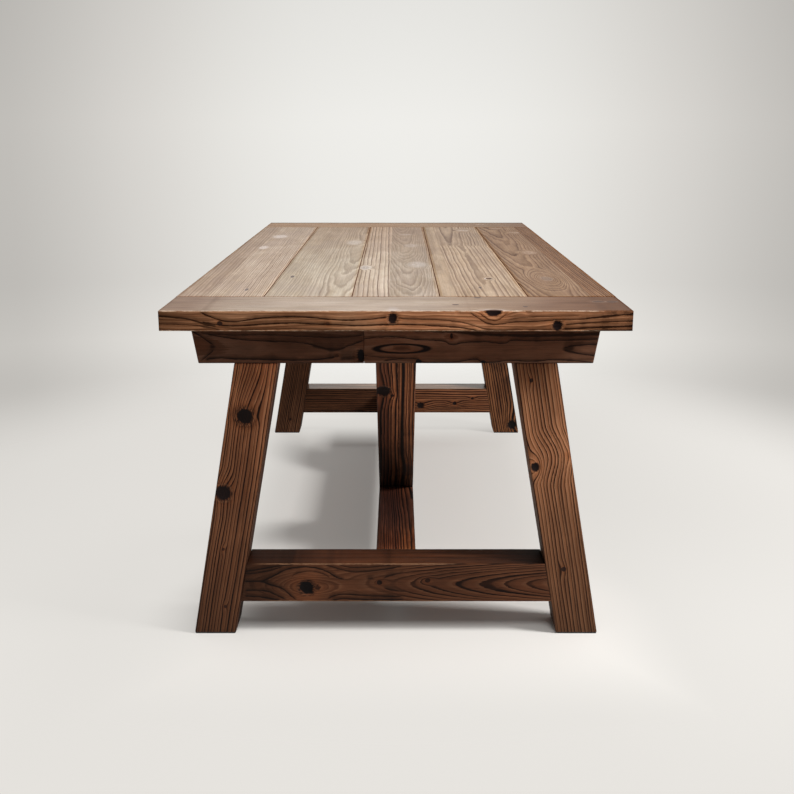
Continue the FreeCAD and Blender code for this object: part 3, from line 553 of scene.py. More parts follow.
def sinkKnots(piece, wood, depth):
    # a shallow hollow at each larger knot, on the face that lies at this depth
    outward = (woodPlace(wood, (0, depth, 0)) - wood["centre"]).normalized()
    for knot in wood["knots"]:
        if knot["size"] < hollow["size"] or knot["dark"] < hollow["dark"]:
            continue
        spot = woodPlace(wood, (knot["at"][0], depth, knot["at"][2]))
        radius = knot["size"] * mm
        mesh = editPiece(piece, "FACE")
        if not choose(piece, mesh.faces, lambda f: f.normal.dot(outward) > 0.7
                      and (f.calc_center_median() - spot).length < radius * hollow["divided"]):
            continue
        bpy.ops.mesh.subdivide(number_cuts=4)
        mesh = editPiece(piece)
        if choose(piece, mesh.verts, lambda v: (v.co - spot).length < radius * hollow["core"]):
            bpy.ops.transform.translate(
                value=-outward * radius * hollow["depth"], use_proportional_edit=True,
                proportional_edit_falloff="SMOOTH", proportional_size=radius * hollow["slope"])


def openCheck(piece, wood, depth, check):
    # a drying crack along the grain: a narrow groove, deepest half way along
    turn = turnOf(wood).to_matrix()
    for side in (-0.5, 0, 0.5):
        across = check["across"] + side * check["width"]
        scoreLine(piece, woodPlace(wood, (0, 0, across)), turn @ up)
    inward = turn @ Vector((0, -1 if depth > 0 else 1, 0))
    middle = sum(check["span"]) / 2
    reach = abs(check["span"][1] - middle)
    for share in (1.0, 0.75, 0.45):
        mesh = editPiece(piece)
        spots = {v: turn.transposed() @ (v.co - wood["centre"]) / mm for v in mesh.verts}
        if choose(piece, mesh.verts, lambda v: abs(spots[v].z - check["across"]) < 0.05
                  and abs(spots[v].y - depth) < check["depth"] + 0.5
                  and abs(spots[v].x - middle) < reach * share):
            bpy.ops.transform.translate(value=inward * check["depth"] * mm / 3)


def dressTimber(piece, node, name, wood, depth):
    # cracks and knots on the face at this depth, then the wear and the wood of a base timber
    for check in wood["checks"]:
        openCheck(piece, wood, depth, check)
    sinkKnots(piece, wood, depth)
    wearSurface(piece, timber["wear"] * mm, timber["wearSpread"])
    finishPiece(piece, "base_timber", [woodMaterial(name, wood)], node)


# the middle planks are a little darker and warmer towards the rear
fadeBack = [(-845, 1), (-300, (0.95, 0.95, 0.93)), (300, (0.87, 0.8, 0.74)), (845, (0.83, 0.72, 0.64))]

# each plank is glued up from boards: how far right and how far back each reaches from the plank's
# left front corner, where that isn't its whole size, and what its wood is like
planks = dict(
    width=190, length=1690, seamBevel=1.2, wear=0.5, wearSpread=0.12, loops=((back, 99), (right, 15)),
    wood=dict(
        grain=back, depthWay=up, half=(845, 21, 95), lateStops=softLate, washedAndLit=True, faint=0.4,
        edge="worn", wear=2.2, wearTone=0.15, seam=1.8, rough=0.5, relief=0.5, fibre=0.5, gloss=0,
        sheen=0.85, sheenRough=0.5, flecks=0.2, glaze=0.5),
    # knots with no darkness show on the top as pale marks: a painted sheen on their bumps
    boards=[
        [dict(right=62, rings=9, pith=(-40, 170), lean=(0.3, 1), washAndLightShade=(0.88, 0.84, 0.88), lines=0.7),
         dict(rings=4.8, pith=(-30, -150), lean=(0.4, 0.9), wander=10, washAndLightShade=(1.14, 1.17, 1.28),
              lines=1.1,
              knots=[knotAt((-740, 21, 44), 4, 0.6, 0.9, long=5, glow=1.1),
                     knotAt((490, 21, -4), 13, 4, 0, eyeWide=3.4, glow=2.4, long=2.5),
                     knotAt((150, 21, -20), 9, 2, 0, glow=2.2, long=3)])],
        [dict(rings=5.4, pith=(-45, 78), lean=(0.9, -1.2), washAndLightShade=(1.08, 1.18, 1.31), lines=0.75,
              topDrift=dict(X=fadeBack),
              knots=[knotAt((-517, 21, -63), 5, 1, 0.95, long=4, glow=1.1),
                     knotAt((296, 21, 58), 14, 4, 0.1, eyeWide=3.2, glow=2.2, long=3)])],
        [dict(right=80, rings=11, pith=(-30, 150), lean=(0.2, 0.3), wander=10, washAndLightShade=(1.21, 1.28, 1.42),
              lateStops=thinLate, topDrift=dict(X=fadeBack),
              knots=[knotAt((-340, 21, -80), 11, 2.5, 0.35, glow=1.6, long=3)]),
         dict(rings=3.6, pith=(-50, 25), lean=(1.6, 0.5), washAndLightShade=(0.9, 0.93, 1.02), lines=0.65,
              topDrift=dict(X=fadeBack),
              knots=[knotAt((-275, 21, 56), 13, 4, 0, eyeLong=9, eyeWide=3.5, long=2.5),
                     knotAt((205, 21, 45), 10, 2.5, 0, long=2.5), knotAt((560, 21, 30), 11, 3, 0)])],
        [dict(right=36, rings=8, pith=(-60, -90), lean=(0.2, 0.4), washAndLightShade=(0.88, 0.83, 0.79), lines=0.5),
         dict(back=1050, rings=8.5, pith=(2, 10), lean=(0.25, 0.6), washAndLightShade=(0.98, 0.93, 0.9),
              knots=[knotAt((-554, 21, 33), 8, 2, 0.95, long=1.6, glow=1.6),
                     knotAt((-708, 21, 2), 3, 0.5, long=5, glow=1.1)]),
         dict(rings=8, pith=(-25, -30), lean=(0.8, -1), washAndLightShade=(0.86, 0.8, 0.77),
              knots=[knotAt((707, 21, 41), 13, 4, 0.1, glow=2.2)])],
        [dict(right=136, rings=5, pith=(-70, -40), lean=(1.2, 0.8), lines=1.1, sheen=0.55,
              washAndLightShade=(0.63, 0.51, 0.44), swells=[((-554, 21, -18), (230, 60, 60), 6.5)],
              knots=[knotAt((-554, 21, -18), 14, 2.5, 0.42, long=2.6, glow=1.2, torn=1.2, eyeLong=9),
                     knotAt((12, 21, 3), 13, 3.5, 0, eyeWide=3.4, glow=2.2, long=2),
                     knotAt((632, 21, 22), 13, 4, 0, glow=2.4), knotAt((790, 21, -27), 11, 3, 0.1)]),
         dict(rings=5.5, pith=(-40, 190), lean=(0.3, 0.8), wander=9, washAndLightShade=(0.54, 0.38, 0.29),
              lines=1.7, sheen=0.5, fibre=0.8)]])


def makePlank(number, looks):
    node = f"top_plank_{number}"
    low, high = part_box(node)
    piece = startBox(f"plank{number}", low, high, *planks["loops"])
    boards = [dict(look) for look in looks]
    reaches = [(board.pop("right", planks["width"]), board.pop("back", planks["length"]))
               for board in boards]
    for acrossReach, alongReach in reaches:
        scoreLine(piece, low + Vector((acrossReach * mm, 0, 0)), right)
        scoreLine(piece, low + Vector((0, alongReach * mm, 0)), back)
    easeEdges(piece, planks["seamBevel"], 2)
    woods = [woodOf(planks["wood"], board, centre=(low + high) / 2, seed=number * 37 + count * 13)
             for count, board in enumerate(boards)]
    for wood in woods:
        sinkKnots(piece, wood, wood["half"][1])
    wearSurface(piece, planks["wear"] * mm, planks["wearSpread"])
    materials = [woodMaterial(f"plankWood{number}{'abc'[i]}", wood) for i, wood in enumerate(woods)]
    finishPiece(piece, "top_timber", materials, node)
    for face in piece.data.polygons:
        spot = (face.center - low) / mm
        fits = [i for i, reach in enumerate(reaches) if spot.x < reach[0] and spot.y < reach[1]]
        face.material_index = fits[0] if fits else len(boards) - 1


for number, looks in enumerate(planks["boards"], 1):
    makePlank(number, looks)
print("planks laid")

breadboards = dict(
    wear=0.8, wearSpread=0.06, loops=((right, 90), (back, 15), (up, 4)),
    wood=dict(half=(475, 95, 21), washedAndLit=True, wear=2.4, glaze=0.4, gloss=0, sheen=0.35),
    front=dict(
        seed=11, pith=(-150, -58), lean=(0.3, 0.4), wander=22, rings=6.5, lines=0.55, shade=(2.35, 2.62, 3),
        # its pale upper arris is partly a painted highlight, fading out towards the right end
        washAndLightShade=(1.07, 1.15, 1.33), edge="worn", wearTone=0.9, fibre=0.95, arrisSpan=(-9999, 440),
        tones=dict(baseTones, worn=tone(158, 126, 98)),
        washAndLightTones=dict(topTones, knot=tone(64, 42, 31), knotRim=tone(112, 82, 64)),
        drift=dict(X=[(-475, 0.38), (-380, 0.56), (-200, 0.57), (-95, 0.66), (0, 0.93), (95, 1), (190, 1),
                      (290, 0.82), (475, 0.74)]),
        # painted reflection: the top is palest in the middle, where it mirrors the bright wall, and darker
        # and browner towards the ends
        topDrift=dict(
            X=[(-430, (0.6, 0.5, 0.45)), (-340, (0.83, 0.79, 0.77)), (-150, 1), (60, 0.97),
               (150, (0.82, 0.74, 0.67)), (240, (0.64, 0.52, 0.43)), (330, (0.45, 0.3, 0.22)),
               (430, (0.3, 0.16, 0.09))]),
        strokes=[
            (3.9, 0.9, [(-490, 11), (-442, 7.4), (-410, 2.9), (-378, -6.8), (-353, -12)]),
            (2.6, 0.95, [(-394, 19.7), (-369, 8.4), (-350, 1.9), (-324, -1.3), (-299, 1.6), (-267, 6.1),
                         (-219, 8.7), (-171, 7.4), (-140, 4.2), (-108, 1.9), (-60, 3.2), (-12, 9)]),
            (2.6, 0.95, [(-394, -0.3), (-362, -6.8), (-337, -9.4), (-311, -10), (-292, -8.1), (-251, -5.5),
                         (-203, -3.9), (-155, -6.2), (-124, -6.8), (-76, -9.1), (-12, -6.8), (69, -8.7),
                         (117, -12), (142, -15.2), (170, -21)]),
            (2.3, 0.8, [(-490, -5.8), (-426, -6.8), (-394, -9.4), (-362, -15.8), (-346, -21)]),
            (2.1, 0.7, [(-315, -20), (-267, -16.5), (-203, -15.2), (-155, -16.8), (-76, -19.1),
                        (-12, -17.8)]),
            (2.3, 0.85, [(0, 6.1), (37, 4.2), (85, 2.6), (123, -1), (149, -6.8), (168, -12.6), (187, -17.1),
                         (212, -17.8), (260, -16.8), (308, -16.8), (340, -15.8), (404, -12.9),
                         (485, -9.6)]),
            (4.2, 0.95, [(330, -16), (404, -12.9), (485, -9.6)]),
            (2.3, 0.9, [(143, 21), (168, 4.2), (187, -5.5), (200, -6.8), (212, -5.5), (232, -2.3),
                        (276, -0.7), (308, 1.9), (372, 4.2), (420, 9.4), (485, 15.4)]),
            (3.9, 0.95, [(372, 4.2), (420, 9.4), (485, 15.4)]),
            (2, 0.85, [(163, 21), (177, 8.4), (190, 2.2), (200, 1), (212, 6.8), (228, 21)]),
            (1.8, 0.7, [(219, 0.3), (244, 6.1), (276, 8.4), (318, 10), (372, 10.6)]),
            (3.1, 0.9, [(333, -7.8), (388, -3.2), (485, 0.5)]),
            (3.4, 0.9, [(372, -20), (420, -18.4), (485, -18)])],
        knots=[
            knotAt((-352, -95, -5), 5, 0.5, 0.9, deep=20), knotAt((-136, -95, -5), 4, 0.4, 0.4, deep=20),
            knotAt((-6, -95, 5), 10, 0.6, deep=30, long=0.9),
            knotAt((195, -95, 22), 13, -2.3, deep=14, long=1.3, eyeLong=4.5, eyeWide=2, torn=0.4,
                   hairs=1.2),
            knotAt((323, -95, -9), 9, 0.6, deep=30, torn=1),
            knotAt((123, -14, 21), 7, 1, 0.9, through="across", deep=12, glow=1.1),
            knotAt((264, -42, 21), 8, 1, 0.9, through="across", deep=12, long=0.7, glow=1.1),
            knotAt((175, 80, 21), 8, 1, 0.9, through="across", deep=12, glow=1.1),
            knotAt((425, 24, 21), 10, 2, 0.8, through="across", deep=12, torn=0.5),
            knotAt((452, 24, 21), 9, 1.5, 0.8, through="across", deep=12, glow=1.1)]),
    rear=dict(
        seed=71, pith=(150, -60), lean=(-0.3, 0.4), wander=20, rings=8, washAndLightShade=(1.06, 0.91, 0.8),
        wearTone=0.9,
        topDrift=dict(
            Y=[(-95, 1), (55, 1), (78, 0.5), (95, 0.35)],
            X=[(-475, 1), (-60, 1), (50, 0.92), (150, 0.88), (240, 0.8), (330, 0.7),
               (475, (0.55, 0.47, 0.46))]),
        knots=[knotAt((-210, 95, 4), 9, 0.8, deep=30), knotAt((120, 95, -8), 6, 0.6, 0.9, deep=30),
               knotAt((310, 20, 21), 7, 1, 0.6, through="across", deep=12)]))


def makeBreadboard(end):
    node = "breadboard_" + end
    low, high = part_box(node)
    piece = startBox("breadboard" + end.title(), low, high, *breadboards["loops"])
    easeEdges(piece)
    wood = woodOf(breadboards["wood"], breadboards[end], centre=(low + high) / 2)
    sinkKnots(piece, wood, -wood["half"][1] if end == "front" else wood["half"][1])
    wearSurface(piece, breadboards["wear"] * mm, breadboards["wearSpread"])
    finishPiece(piece, "top_timber", [woodMaterial("breadboardWood" + end.title(), wood)], node)


for end in ("front", "rear"):
    makeBreadboard(end)
print("breadboard ends laid")

# the bolts' counterbores: across the table, and from its middle along it
headers = dict(
    slant=math.radians(10), boltsAcross=(-228, -38, 38, 228), boltsAlong=829, boltSeatWidth=26,
    loops=((right, 40), (back, 6), (up, 7)),
    wood=dict(
        half=(500, halfSide, 47), shade=(0.74, 0.87, 1.22), lateStops=thinLate, spread=0.2, stain=0.25),
    frontLeft=dict(
        seed=4, rings=12, pith=(70, -15), lean=(1.5, 1), wander=8, lines=0.3,
        strokes=[
            (2, 0.9, [(-152, 17), (-75, 4.9), (-1, 0.5), (59, -3), (90, -11.3), (124, -17.7), (150, -9.8),
                      (190, 6)]),
            (5.6, 0.8, [(70, -6), (90, -11.3), (124, -17), (150, -10)]),
            (1.9, 0.8, [(-166, 18.6), (-98, 14.5), (-24, 15), (73, 10.7), (130, 9.3), (190, 16)]),
            (3, 0.9, [(-158, -40), (-132, -35.3), (-84, -37), (-41, -37.6), (67, -39.4), (101, -36.5),
                      (130, -31)]),
            (2.8, 0.9, [(-190, 28), (-166, 15), (-152, 4.9), (-129, -11.3)]),
            (2.8, 0.9, [(-166, -43), (-149, -30), (-129, -11.3)]),
            (5.6, 0.8, [(-148, -10), (-140, -11), (-126, -11.3)]),
            (8.8, 0.75, [(130, -36), (150, -35), (172, -34)])],
        knots=[knotAt((179, 0, -30), 14, 0.6, long=0.5, torn=0.25), knotAt((128, 0, -30), 4, 0.4, 0.5),
               knotAt((-163, 0, -8), 9, 0.2, 0, glow=2.4)]),
    frontRight=dict(
        seed=6, rings=10, pith=(50, 0), lean=(0.5, 0.8), wander=8, lines=0.3, shade=(0.89, 1.04, 1.42),
        strokes=[
            (2.1, 0.9, [(-260, 5), (-197, 10.7), (-140, 4.9), (-83, 1), (-66, -6), (-43, -1.9), (3, -0.1),
                        (48, -3), (60, 2.8), (105, 2), (174, 3.4), (260, 7.2)]),
            # this wide dark band near the top is painted shadow under the table top, drawn as a stroke
            (6.2, 0.85, [(-160, 27), (-100, 24), (-60, 22), (-20, 18), (60, 14), (150, 14), (260, 18)]),
            (2.1, 0.9, [(-215, -42), (-140, -37.6), (-128, -44), (-60, -44), (-37, -40.6), (-14, -37.6),
                        (0, -44), (60, -40.6), (105, -42), (159, -39), (240, -46)]),
            (1.9, 0.8, [(-260, -29), (-223, -33), (-178, -35), (-138, -37)]),
            (3.2, 0.9, [(166, -15.7), (190, -9), (215, -6.5), (260, -5)]),
            (3.2, 0.9, [(166, -15.7), (190, -22), (215, -27), (260, -30)]),
            (7.5, 0.8, [(168, -15.7), (180, -15), (200, -13)])],
        ovals=[((-173, -45, -15), (54, 60, 9.6), 0.28)],
        knots=[knotAt((-67, 0, 12), 6, 0.3, 0.9, long=0.5),
               knotAt((-173, 0, -15), 5, 0.2, 0.4, long=4, glow=1.5), knotAt((-137, 0, -44), 6, 0.2),
               knotAt((2, 0, -46), 6, 0.2)]),
    rearLeft=dict(seed=8, rings=11, pith=(60, 10), lean=(-2, 1), knots=[knotAt((60, 0, 14), 8, 1)]),
    rearRight=dict(seed=9, rings=12, pith=(-60, 15), lean=(2, 1), knots=[knotAt((-90, 0, -12), 7, 1)]))


def makeHeader(end, side):
    node, which = f"{end}_header_{side}", end + side.title()
    low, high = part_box(node)
    sign = -1 if side == "left" else 1
    piece = startBox(end + "Header" + side.title(), low, high, *headers["loops"])
    slant = headers["slant"]
    corner = Vector((low.x if sign < 0 else high.x, 0, high.z))
    sawOff(piece, corner, Vector((sign * math.cos(slant), 0, -math.sin(slant))))
    easeEdges(piece)
    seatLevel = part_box("top_washers")[1].z
    for across in headers["boltsAcross"]:
        if low.x < across * mm < high.x:
            at = (across * mm, math.copysign(headers["boltsAlong"] * mm, low.y), low.z)
            drillUp(piece, at, headers["boltSeatWidth"] / 2 * mm, seatLevel - low.z)
    wood = woodOf(headers["wood"], headers[which], centre=(low + high) / 2)
    dressTimber(piece, node, f"headerWood{end.title()}{side.title()}", wood, -halfSide)


# painted shade darkens the front legs' sides, so their front faces stay paler
sideShade = [(-46, 1), (-43, 1), (-36, 0.5), (46, 0.5)]
legs = dict(
    loops=((up, 60), (right, 8), (back, 8)), wood=dict(half=(500, halfSide, 46)),
    frontLeft=dict(
        seed=20, rings=6.2, pith=(10, -110), lean=(0, 0.3), shade=(1.48, 1.46, 1.6), wander=12, uneven=1.3,
        faint=0.5, spread=0.35, lines=1.3, lateStops=thinLate, spring=0.5,
        # painted shade, darker towards the foot, and painted light near the top, where the header and table
        # top shade it
        drift=dict(
            X=[(-320, 0.19), (-200, 0.28), (-60, 0.46), (60, 0.63), (190, 1), (320, 2)], Y=sideShade),
        knots=[knotAt((196, 0, 7), 18, 2.6, long=0.95, eyeLong=7, eyeWide=2.6, side=1, torn=0.5, hairs=2.1),
               knotAt((15, 0, 29), 17, 2.2, long=1, eyeLong=4, eyeWide=2, side=1, torn=0.4, rest=0.3),
               knotAt((-115, 0, 10), 3.5, 0.6, 0.8), knotAt((-250, 0, -13), 3.5, 0.6, 0.8)],
        checks=[dict(across=-22, span=(-60, 130), width=1.2, depth=2.5)]),
    frontRight=dict(
        seed=22, rings=6.8, pith=(20, 150), lean=(0, 0.3), shade=(1.55, 1.66, 1.86), faint=0.5, uneven=1.2,
        spread=0.35, wander=9, stain=0.15, spring=0.5, lateStops=thinLate,
        # painted shade, darker towards the foot
        drift=dict(
            X=[(-320, 0.25), (-200, 0.38), (-60, 0.5), (40, 0.82), (100, 1), (190, 0.94), (320, 0.84)],
            Y=sideShade),
        swells=[((105, -45, -8), (75, 90, 75), 2.6)],
        knots=[knotAt((281, 0, 15), 4.5, 0.5, 0.9),
               knotAt((87, 0, 35), 9, 2, eyeWide=3, eyeLong=5, torn=0.3, hairs=1.3),
               knotAt((-160, 0, 7), 5.5, 0.6, 0.9), knotAt((101, 0, -42), 6, 0.6, 0.2)]),
    rearLeft=dict(
        seed=24, rings=5.5, pith=(-20, 140), lean=(0, 0.3), shade=(1, 1.08, 1.26), lines=1.3,
        # painted shade, darker towards the foot
        drift=dict(X=[(-320, 0.58), (-100, 0.84), (60, 1), (320, 0.9)]),
        knots=[knotAt((-266, 0, -4), 5, 0.8, 0.9), knotAt((120, 0, 20), 7, 1.2)]),
    rearRight=dict(
        seed=26, rings=8.5, pith=(-10, -120), lean=(0, -0.4), shade=(0.8, 0.81, 0.82), stain=0.7, lines=1.6,
        knots=[knotAt((-292, 0, -26), 15, 1.6), knotAt((90, 0, 12), 6, 1)]))


def makeLeg(end, side):
    node, which = f"{end}_leg_{side}", end + side.title()
    low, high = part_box(node)
    sign = -1 if side == "left" else 1
    lean = timber["lean"]
    rise = high.z - low.z
    centre = (low + high) / 2
    width = ((high.x - low.x) - rise * math.tan(lean)) * math.cos(lean)
    depth = high.y - low.y
    # longer than it will be, so that both ends can be sawn level
    half = Vector((width / 2, depth / 2, rise * 0.6))
    piece = startBox(end + "Leg" + side.title(), centre - half, centre + half, *legs["loops"])
    turnPiece(piece, -sign * lean, "Y", centre)
    sawOff(piece, (0, 0, high.z), up)
    sawOff(piece, (0, 0, low.z), -up)
    easeEdges(piece)
    grain = Vector((-sign * math.sin(lean), 0, math.cos(lean)))
    wood = woodOf(legs["wood"], legs[which], centre=centre, grain=grain)
    dressTimber(piece, node, f"legWood{end.title()}{side.title()}", wood, -halfSide)


rails = dict(
    loops=((right, 60), (back, 8), (up, 8)),
    front=dict(
        seed=31, rings=4.2, pith=(14, -4), lean=(-4.6, 0), wander=7, shade=(0.42, 0.4, 0.44),
        lateStops=thinLate, lines=1.1, stain=0.15, edge="worn", wear=3.2, wearTone=0.95,
        drift=dict(X=[(-340, 0.36), (-290, 0.45), (-245, 0.72), (-195, 1.25), (-150, 0.92), (-60, 0.68),
                      (60, 0.82), (180, 0.8), (260, 0.98), (340, 1)]),
        # along the top, painted shade deepening towards the legs, darkest by the right one; across it, dark
        # streaks of grain
        topDrift=dict(
            X=[(-340, (0.24, 0.21, 0.19)), (-240, (0.42, 0.37, 0.33)), (-150, (0.7, 0.62, 0.56)),
               (-60, (0.62, 0.54, 0.48)), (60, (0.76, 0.67, 0.6)), (130, (0.66, 0.6, 0.54)),
               (220, (0.44, 0.4, 0.38)), (290, (0.2, 0.18, 0.18)), (340, (0.06, 0.06, 0.07))],
            Y=[(-46, 1.1), (-14, 1.1), (-8, 0.6), (-2, 1.05), (8, 1.05), (14, 0.6), (20, 1), (34, 0.95),
               (42, 0.6), (46, 0.6)]),
        # the pale arris, partly a painted highlight, runs only over this span
        arrisSpan=(-330, 150), bare=(-30, 70, 0.4),
        strokes=[
            (2.8, 0.9, [(-344, 24.7), (-333, 27.7), (-307, 31.4), (-284, 36.3), (-256, 40.8), (-223, 43)]),
            (2.2, 0.85, [(-344, 21.5), (-311, 23.2), (-288, 27.7), (-267, 33.8), (-249, 40.5)]),
            (3, 0.95, [(-344, 2.9), (-314, 2.9), (-300, 4.1), (-284, 11.5), (-267, 20.2), (-249, 30.1),
                       (-228, 36.3), (-209, 38.1), (-191, 37.1), (-172, 33.8), (-156, 27.7), (-140, 17.7),
                       (-126, 10.3), (-112, 8.3)]),
            (3, 0.95, [(-311, 2.9), (-300, 2.9), (-286, -3.3), (-270, -8.3), (-253, -15.7), (-242, -25.6),
                       (-230, -36.8), (-220, -44.2)]),
            (5.6, 0.75, [(-309, 2.9), (-297, 2.9), (-279, 2.4)]),
            (2.8, 0.9, [(-344, -19.4), (-311, -18.2), (-288, -20.7), (-272, -28.1), (-260, -34.3),
                        (-244, -41.8)]),
            (3.2, 0.9, [(-344, -31.8), (-311, -34.3), (-284, -38), (-256, -43.7)]),
            (2.5, 0.75, [(-237, 7.8), (-228, 19), (-209, 25.7), (-191, 27.7), (-172, 24.7), (-156, 17.7),
                         (-145, 7.8)]),
            (2.8, 0.9, [(-158, -43), (-145, -34.3), (-131, -29.4), (-110, -28.1), (-87, -29.4),
                        (-52, -31.8), (18, -33.1)]),
            (3.2, 0.9, [(-149, -45.5), (-121, -38), (-98, -39.3), (-52, -40.5), (22, -40.5)]),
            (2.5, 0.85, [(-161, 42), (-145, 38.8), (-121, 31.4), (-103, 27.2), (-75, 26.4), (-40, 30.1),
                         (18, 41)]),
            (2.2, 0.8, [(-131, 43.5), (-107, 37.6), (-75, 36.3), (-40, 38.8), (-5, 43)]),
            (2.5, 0.85, [(-31, 9.1), (-12, 17.7), (22, 24.7)]),
            (2.5, 0.85, [(-31, -9.5), (-10, -17), (27, -20.4)]),
            (4.5, 0.75, [(-69, 9.8), (-59, 10.3), (-45, 9.8)])],
        knots=[knotAt((-201, 0, -13), 16, 4.5, long=1, eyeLong=7, glow=3.4),
               knotAt((-176, 0, -12), 7, 0.5, 0.7, long=0.6, torn=2), knotAt((-37, 0, 0), 6, 1, 0.9),
               knotAt((71, 0, 5), 5.5, 1, 0.8)]),
    # the rear rail's pale top is a painted reflection of the bright wall, over its real sheen
    rear=dict(
        seed=33, rings=6.5, pith=(20, 100), lean=(1, 1), shade=(1.12, 1.1, 1.18), washedAndLit=True,
        washAndLightShade=(0.75, 0.6, 0.5), topDrift=dict(X=[(-330, 1), (330, 1)]),
        drift=dict(X=[(-330, 0.4), (-60, 0.42), (40, 1), (330, 0.95)]), lines=1.5, sheen=0.65,
        sheenRough=0.22,
        knots=[knotAt((89, 0, -18), 11, 1.6), knotAt((216, 0, -10), 7, 1.2), knotAt((282, 0, 9), 5, 0.8)]))


def makeRail(end):
    node = end + "_rail"
    low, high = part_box(node)
    piece = startBox(end + "Rail", low, high, *rails["loops"])
    lean = timber["lean"]
    for side, sign in (("left", -1), ("right", 1)):
        legLow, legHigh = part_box(f"{end}_leg_{side}")
        inner = legHigh.x if sign < 0 else legLow.x
        sawOff(piece, Vector((inner, 0, legHigh.z)), Vector((sign * math.cos(lean), 0, math.sin(lean))))
    easeEdges(piece)
    wood = woodOf(rails[end], centre=(low + high) / 2)
    dressTimber(piece, node, "railWood" + end.title(), wood, -halfSide)


stretcher = dict(
    loops=((back, 99), (right, 8), (up, 8)), pocketWidth=75, pocketSpan=(731, 769), pocketTop=151,
    screwsAlong=(290, 330), screwSeatWidth=14, screwHead=4,
    wood=dict(
        seed=41, rings=3.4, pith=(-20, 42), lean=(0.3, 0.9), shade=(1.02, 0.8, 0.7), wander=9,
        # painted shade: darker where the front brace stands over the stretcher, brighter at its exposed
        # front end
        drift=dict(
            X=[(-845, (1.25, 1.33, 1.3)), (-770, 1.15), (-720, (0.76, 0.76, 0.78)),
               (-660, (0.36, 0.38, 0.46)), (-560, (0.27, 0.28, 0.38)), (-440, (0.27, 0.28, 0.38)),
               (-360, (0.4, 0.4, 0.5)), (0, 0.5), (845, 0.7)],
            Z=[(-46, (0.66, 0.64, 0.76)), (6, (0.7, 0.66, 0.8)), (14, 1), (46, 1)]),
        knots=[knotAt((-250, 45, 10), 6, 1), knotAt((420, 45, -14), 8, 2)],
        checks=[dict(across=37.4, span=(-740, -600), width=1.4, depth=3)]))


def makeStretcher():
    low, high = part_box("stretcher")
    piece = startBox("stretcherTimber", low, high, *stretcher["loops"])
    easeEdges(piece)
    near, far = stretcher["pocketSpan"]
    reach = Vector((stretcher["pocketWidth"] / 2, (far - near) / 2, stretcher["pocketTop"])) * mm
    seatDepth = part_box("brace_screws")[0].z + stretcher["screwHead"] * mm - low.z
    for sign in (-1, 1):
        pocketAt = Vector((0, sign * (near + far) / 2 * mm, 0))
        cutAway(piece, startBox("pocket", pocketAt - reach, pocketAt + reach))
        for screwAt in stretcher["screwsAlong"]:
            at = (0, sign * screwAt * mm, low.z)
            drillUp(piece, at, stretcher["screwSeatWidth"] / 2 * mm, seatDepth)
    wood = woodOf(stretcher["wood"], centre=(low + high) / 2, grain=back, depthWay=up)
    dressTimber(piece, "stretcher", "stretcherWood", wood, halfSide)


# the knots of the braces are placed in the frame, in metres
braces = dict(
    length=1100, slope=math.radians(45), loops=((back, 90), (right, 8), (up, 8)),
    front=dict(
        seed=51, pith=(20, -100), lean=(0.2, 0.2), shade=(2, 1.85, 1.9), uneven=1.6, stain=0.4, lines=1.35,
        # painted shade: the lower end, where the brace meets the stretcher, is darkened as in its shadow
        drift=dict(
            X=[(-320, 0.9), (-190, 1.1), (30, 0.83), (80, 0.46), (140, 0.3), (200, 0.2),
               (270, (0.18, 0.22, 0.27)), (320, (0.2, 0.32, 0.42))],
            Z=[(-46, (0.42, 0.38, 0.44)), (-18, (0.52, 0.47, 0.52)), (-10, 1.06), (10, 0.9), (16, 0.6),
               (24, 0.95), (46, 1)]),
        strokes=[
            (1.8, 0.95, [(-340, 4), (-100, 6), (60, 7), (200, 4), (340, -2)]),
            (2.2, 0.95, [(-340, 14), (-100, 17), (100, 19), (340, 21)]),
            (1.5, 0.85, [(-340, 30), (0, 31), (150, 32), (340, 33)]),
            (1.5, 0.85, [(-340, -12), (0, -13), (200, -14), (340, -14)])],
        knots=[knotAt((-0.03, -0.7, 0.517), 18, 0.7), knotAt((-0.008, -0.687, 0.504), 5, 0.6, 0.9),
               knotAt((0.028, -0.43, 0.23), 19, 0.6, 0.5, long=1.8)]),
    rear=dict(seed=53, rings=6.5, pith=(-20, 90), lean=(0.3, -0.3), shade=(0.66, 0.62, 0.61),
              knots=[knotAt((0.012, 0.62, 0.44), 9, 1.4)]))


def makeBrace(end):
    node = end + "_brace"
    low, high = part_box(node)
    sign = 1 if end == "front" else -1  # towards the middle of the table
    heel = low.y if sign > 0 else high.y
    side = timber["side"] * mm
    # half way down the slanted timber, between its two long faces
    centre = Vector((0, (low.y + high.y) / 2, low.z + (high.y - low.y) / 2 - side / math.sqrt(2)))
    half = Vector((side / 2, braces["length"] * mm / 2, side / 2))
    piece = startBox(end + "Brace", centre - half, centre + half, *braces["loops"])
    turnPiece(piece, -sign * braces["slope"], "X", centre)
    sawOff(piece, (0, heel, 0), -sign * back)
    sawOff(piece, (0, 0, high.z), up)
    sawOff(piece, (0, 0, low.z), -up)
    easeEdges(piece)
    wood = woodOf(braces[end], centre=centre, grain=(sign * back - up).normalized(),
                  depthWay=(sign * back + up).normalized())
    turnBack = turnOf(wood).to_matrix().transposed()
    for knot in wood["knots"]:
        knot["at"] = tuple(turnBack @ (Vector(knot["at"]) - centre) / mm)
    dressTimber(piece, node, "braceWood" + end.title(), wood, -halfSide)


for end in ("front", "rear"):
    for side in ("left", "right"):
        makeHeader(end, side)
        makeLeg(end, side)
    makeRail(end)
    makeBrace(end)
makeStretcher()
print("trestles made")


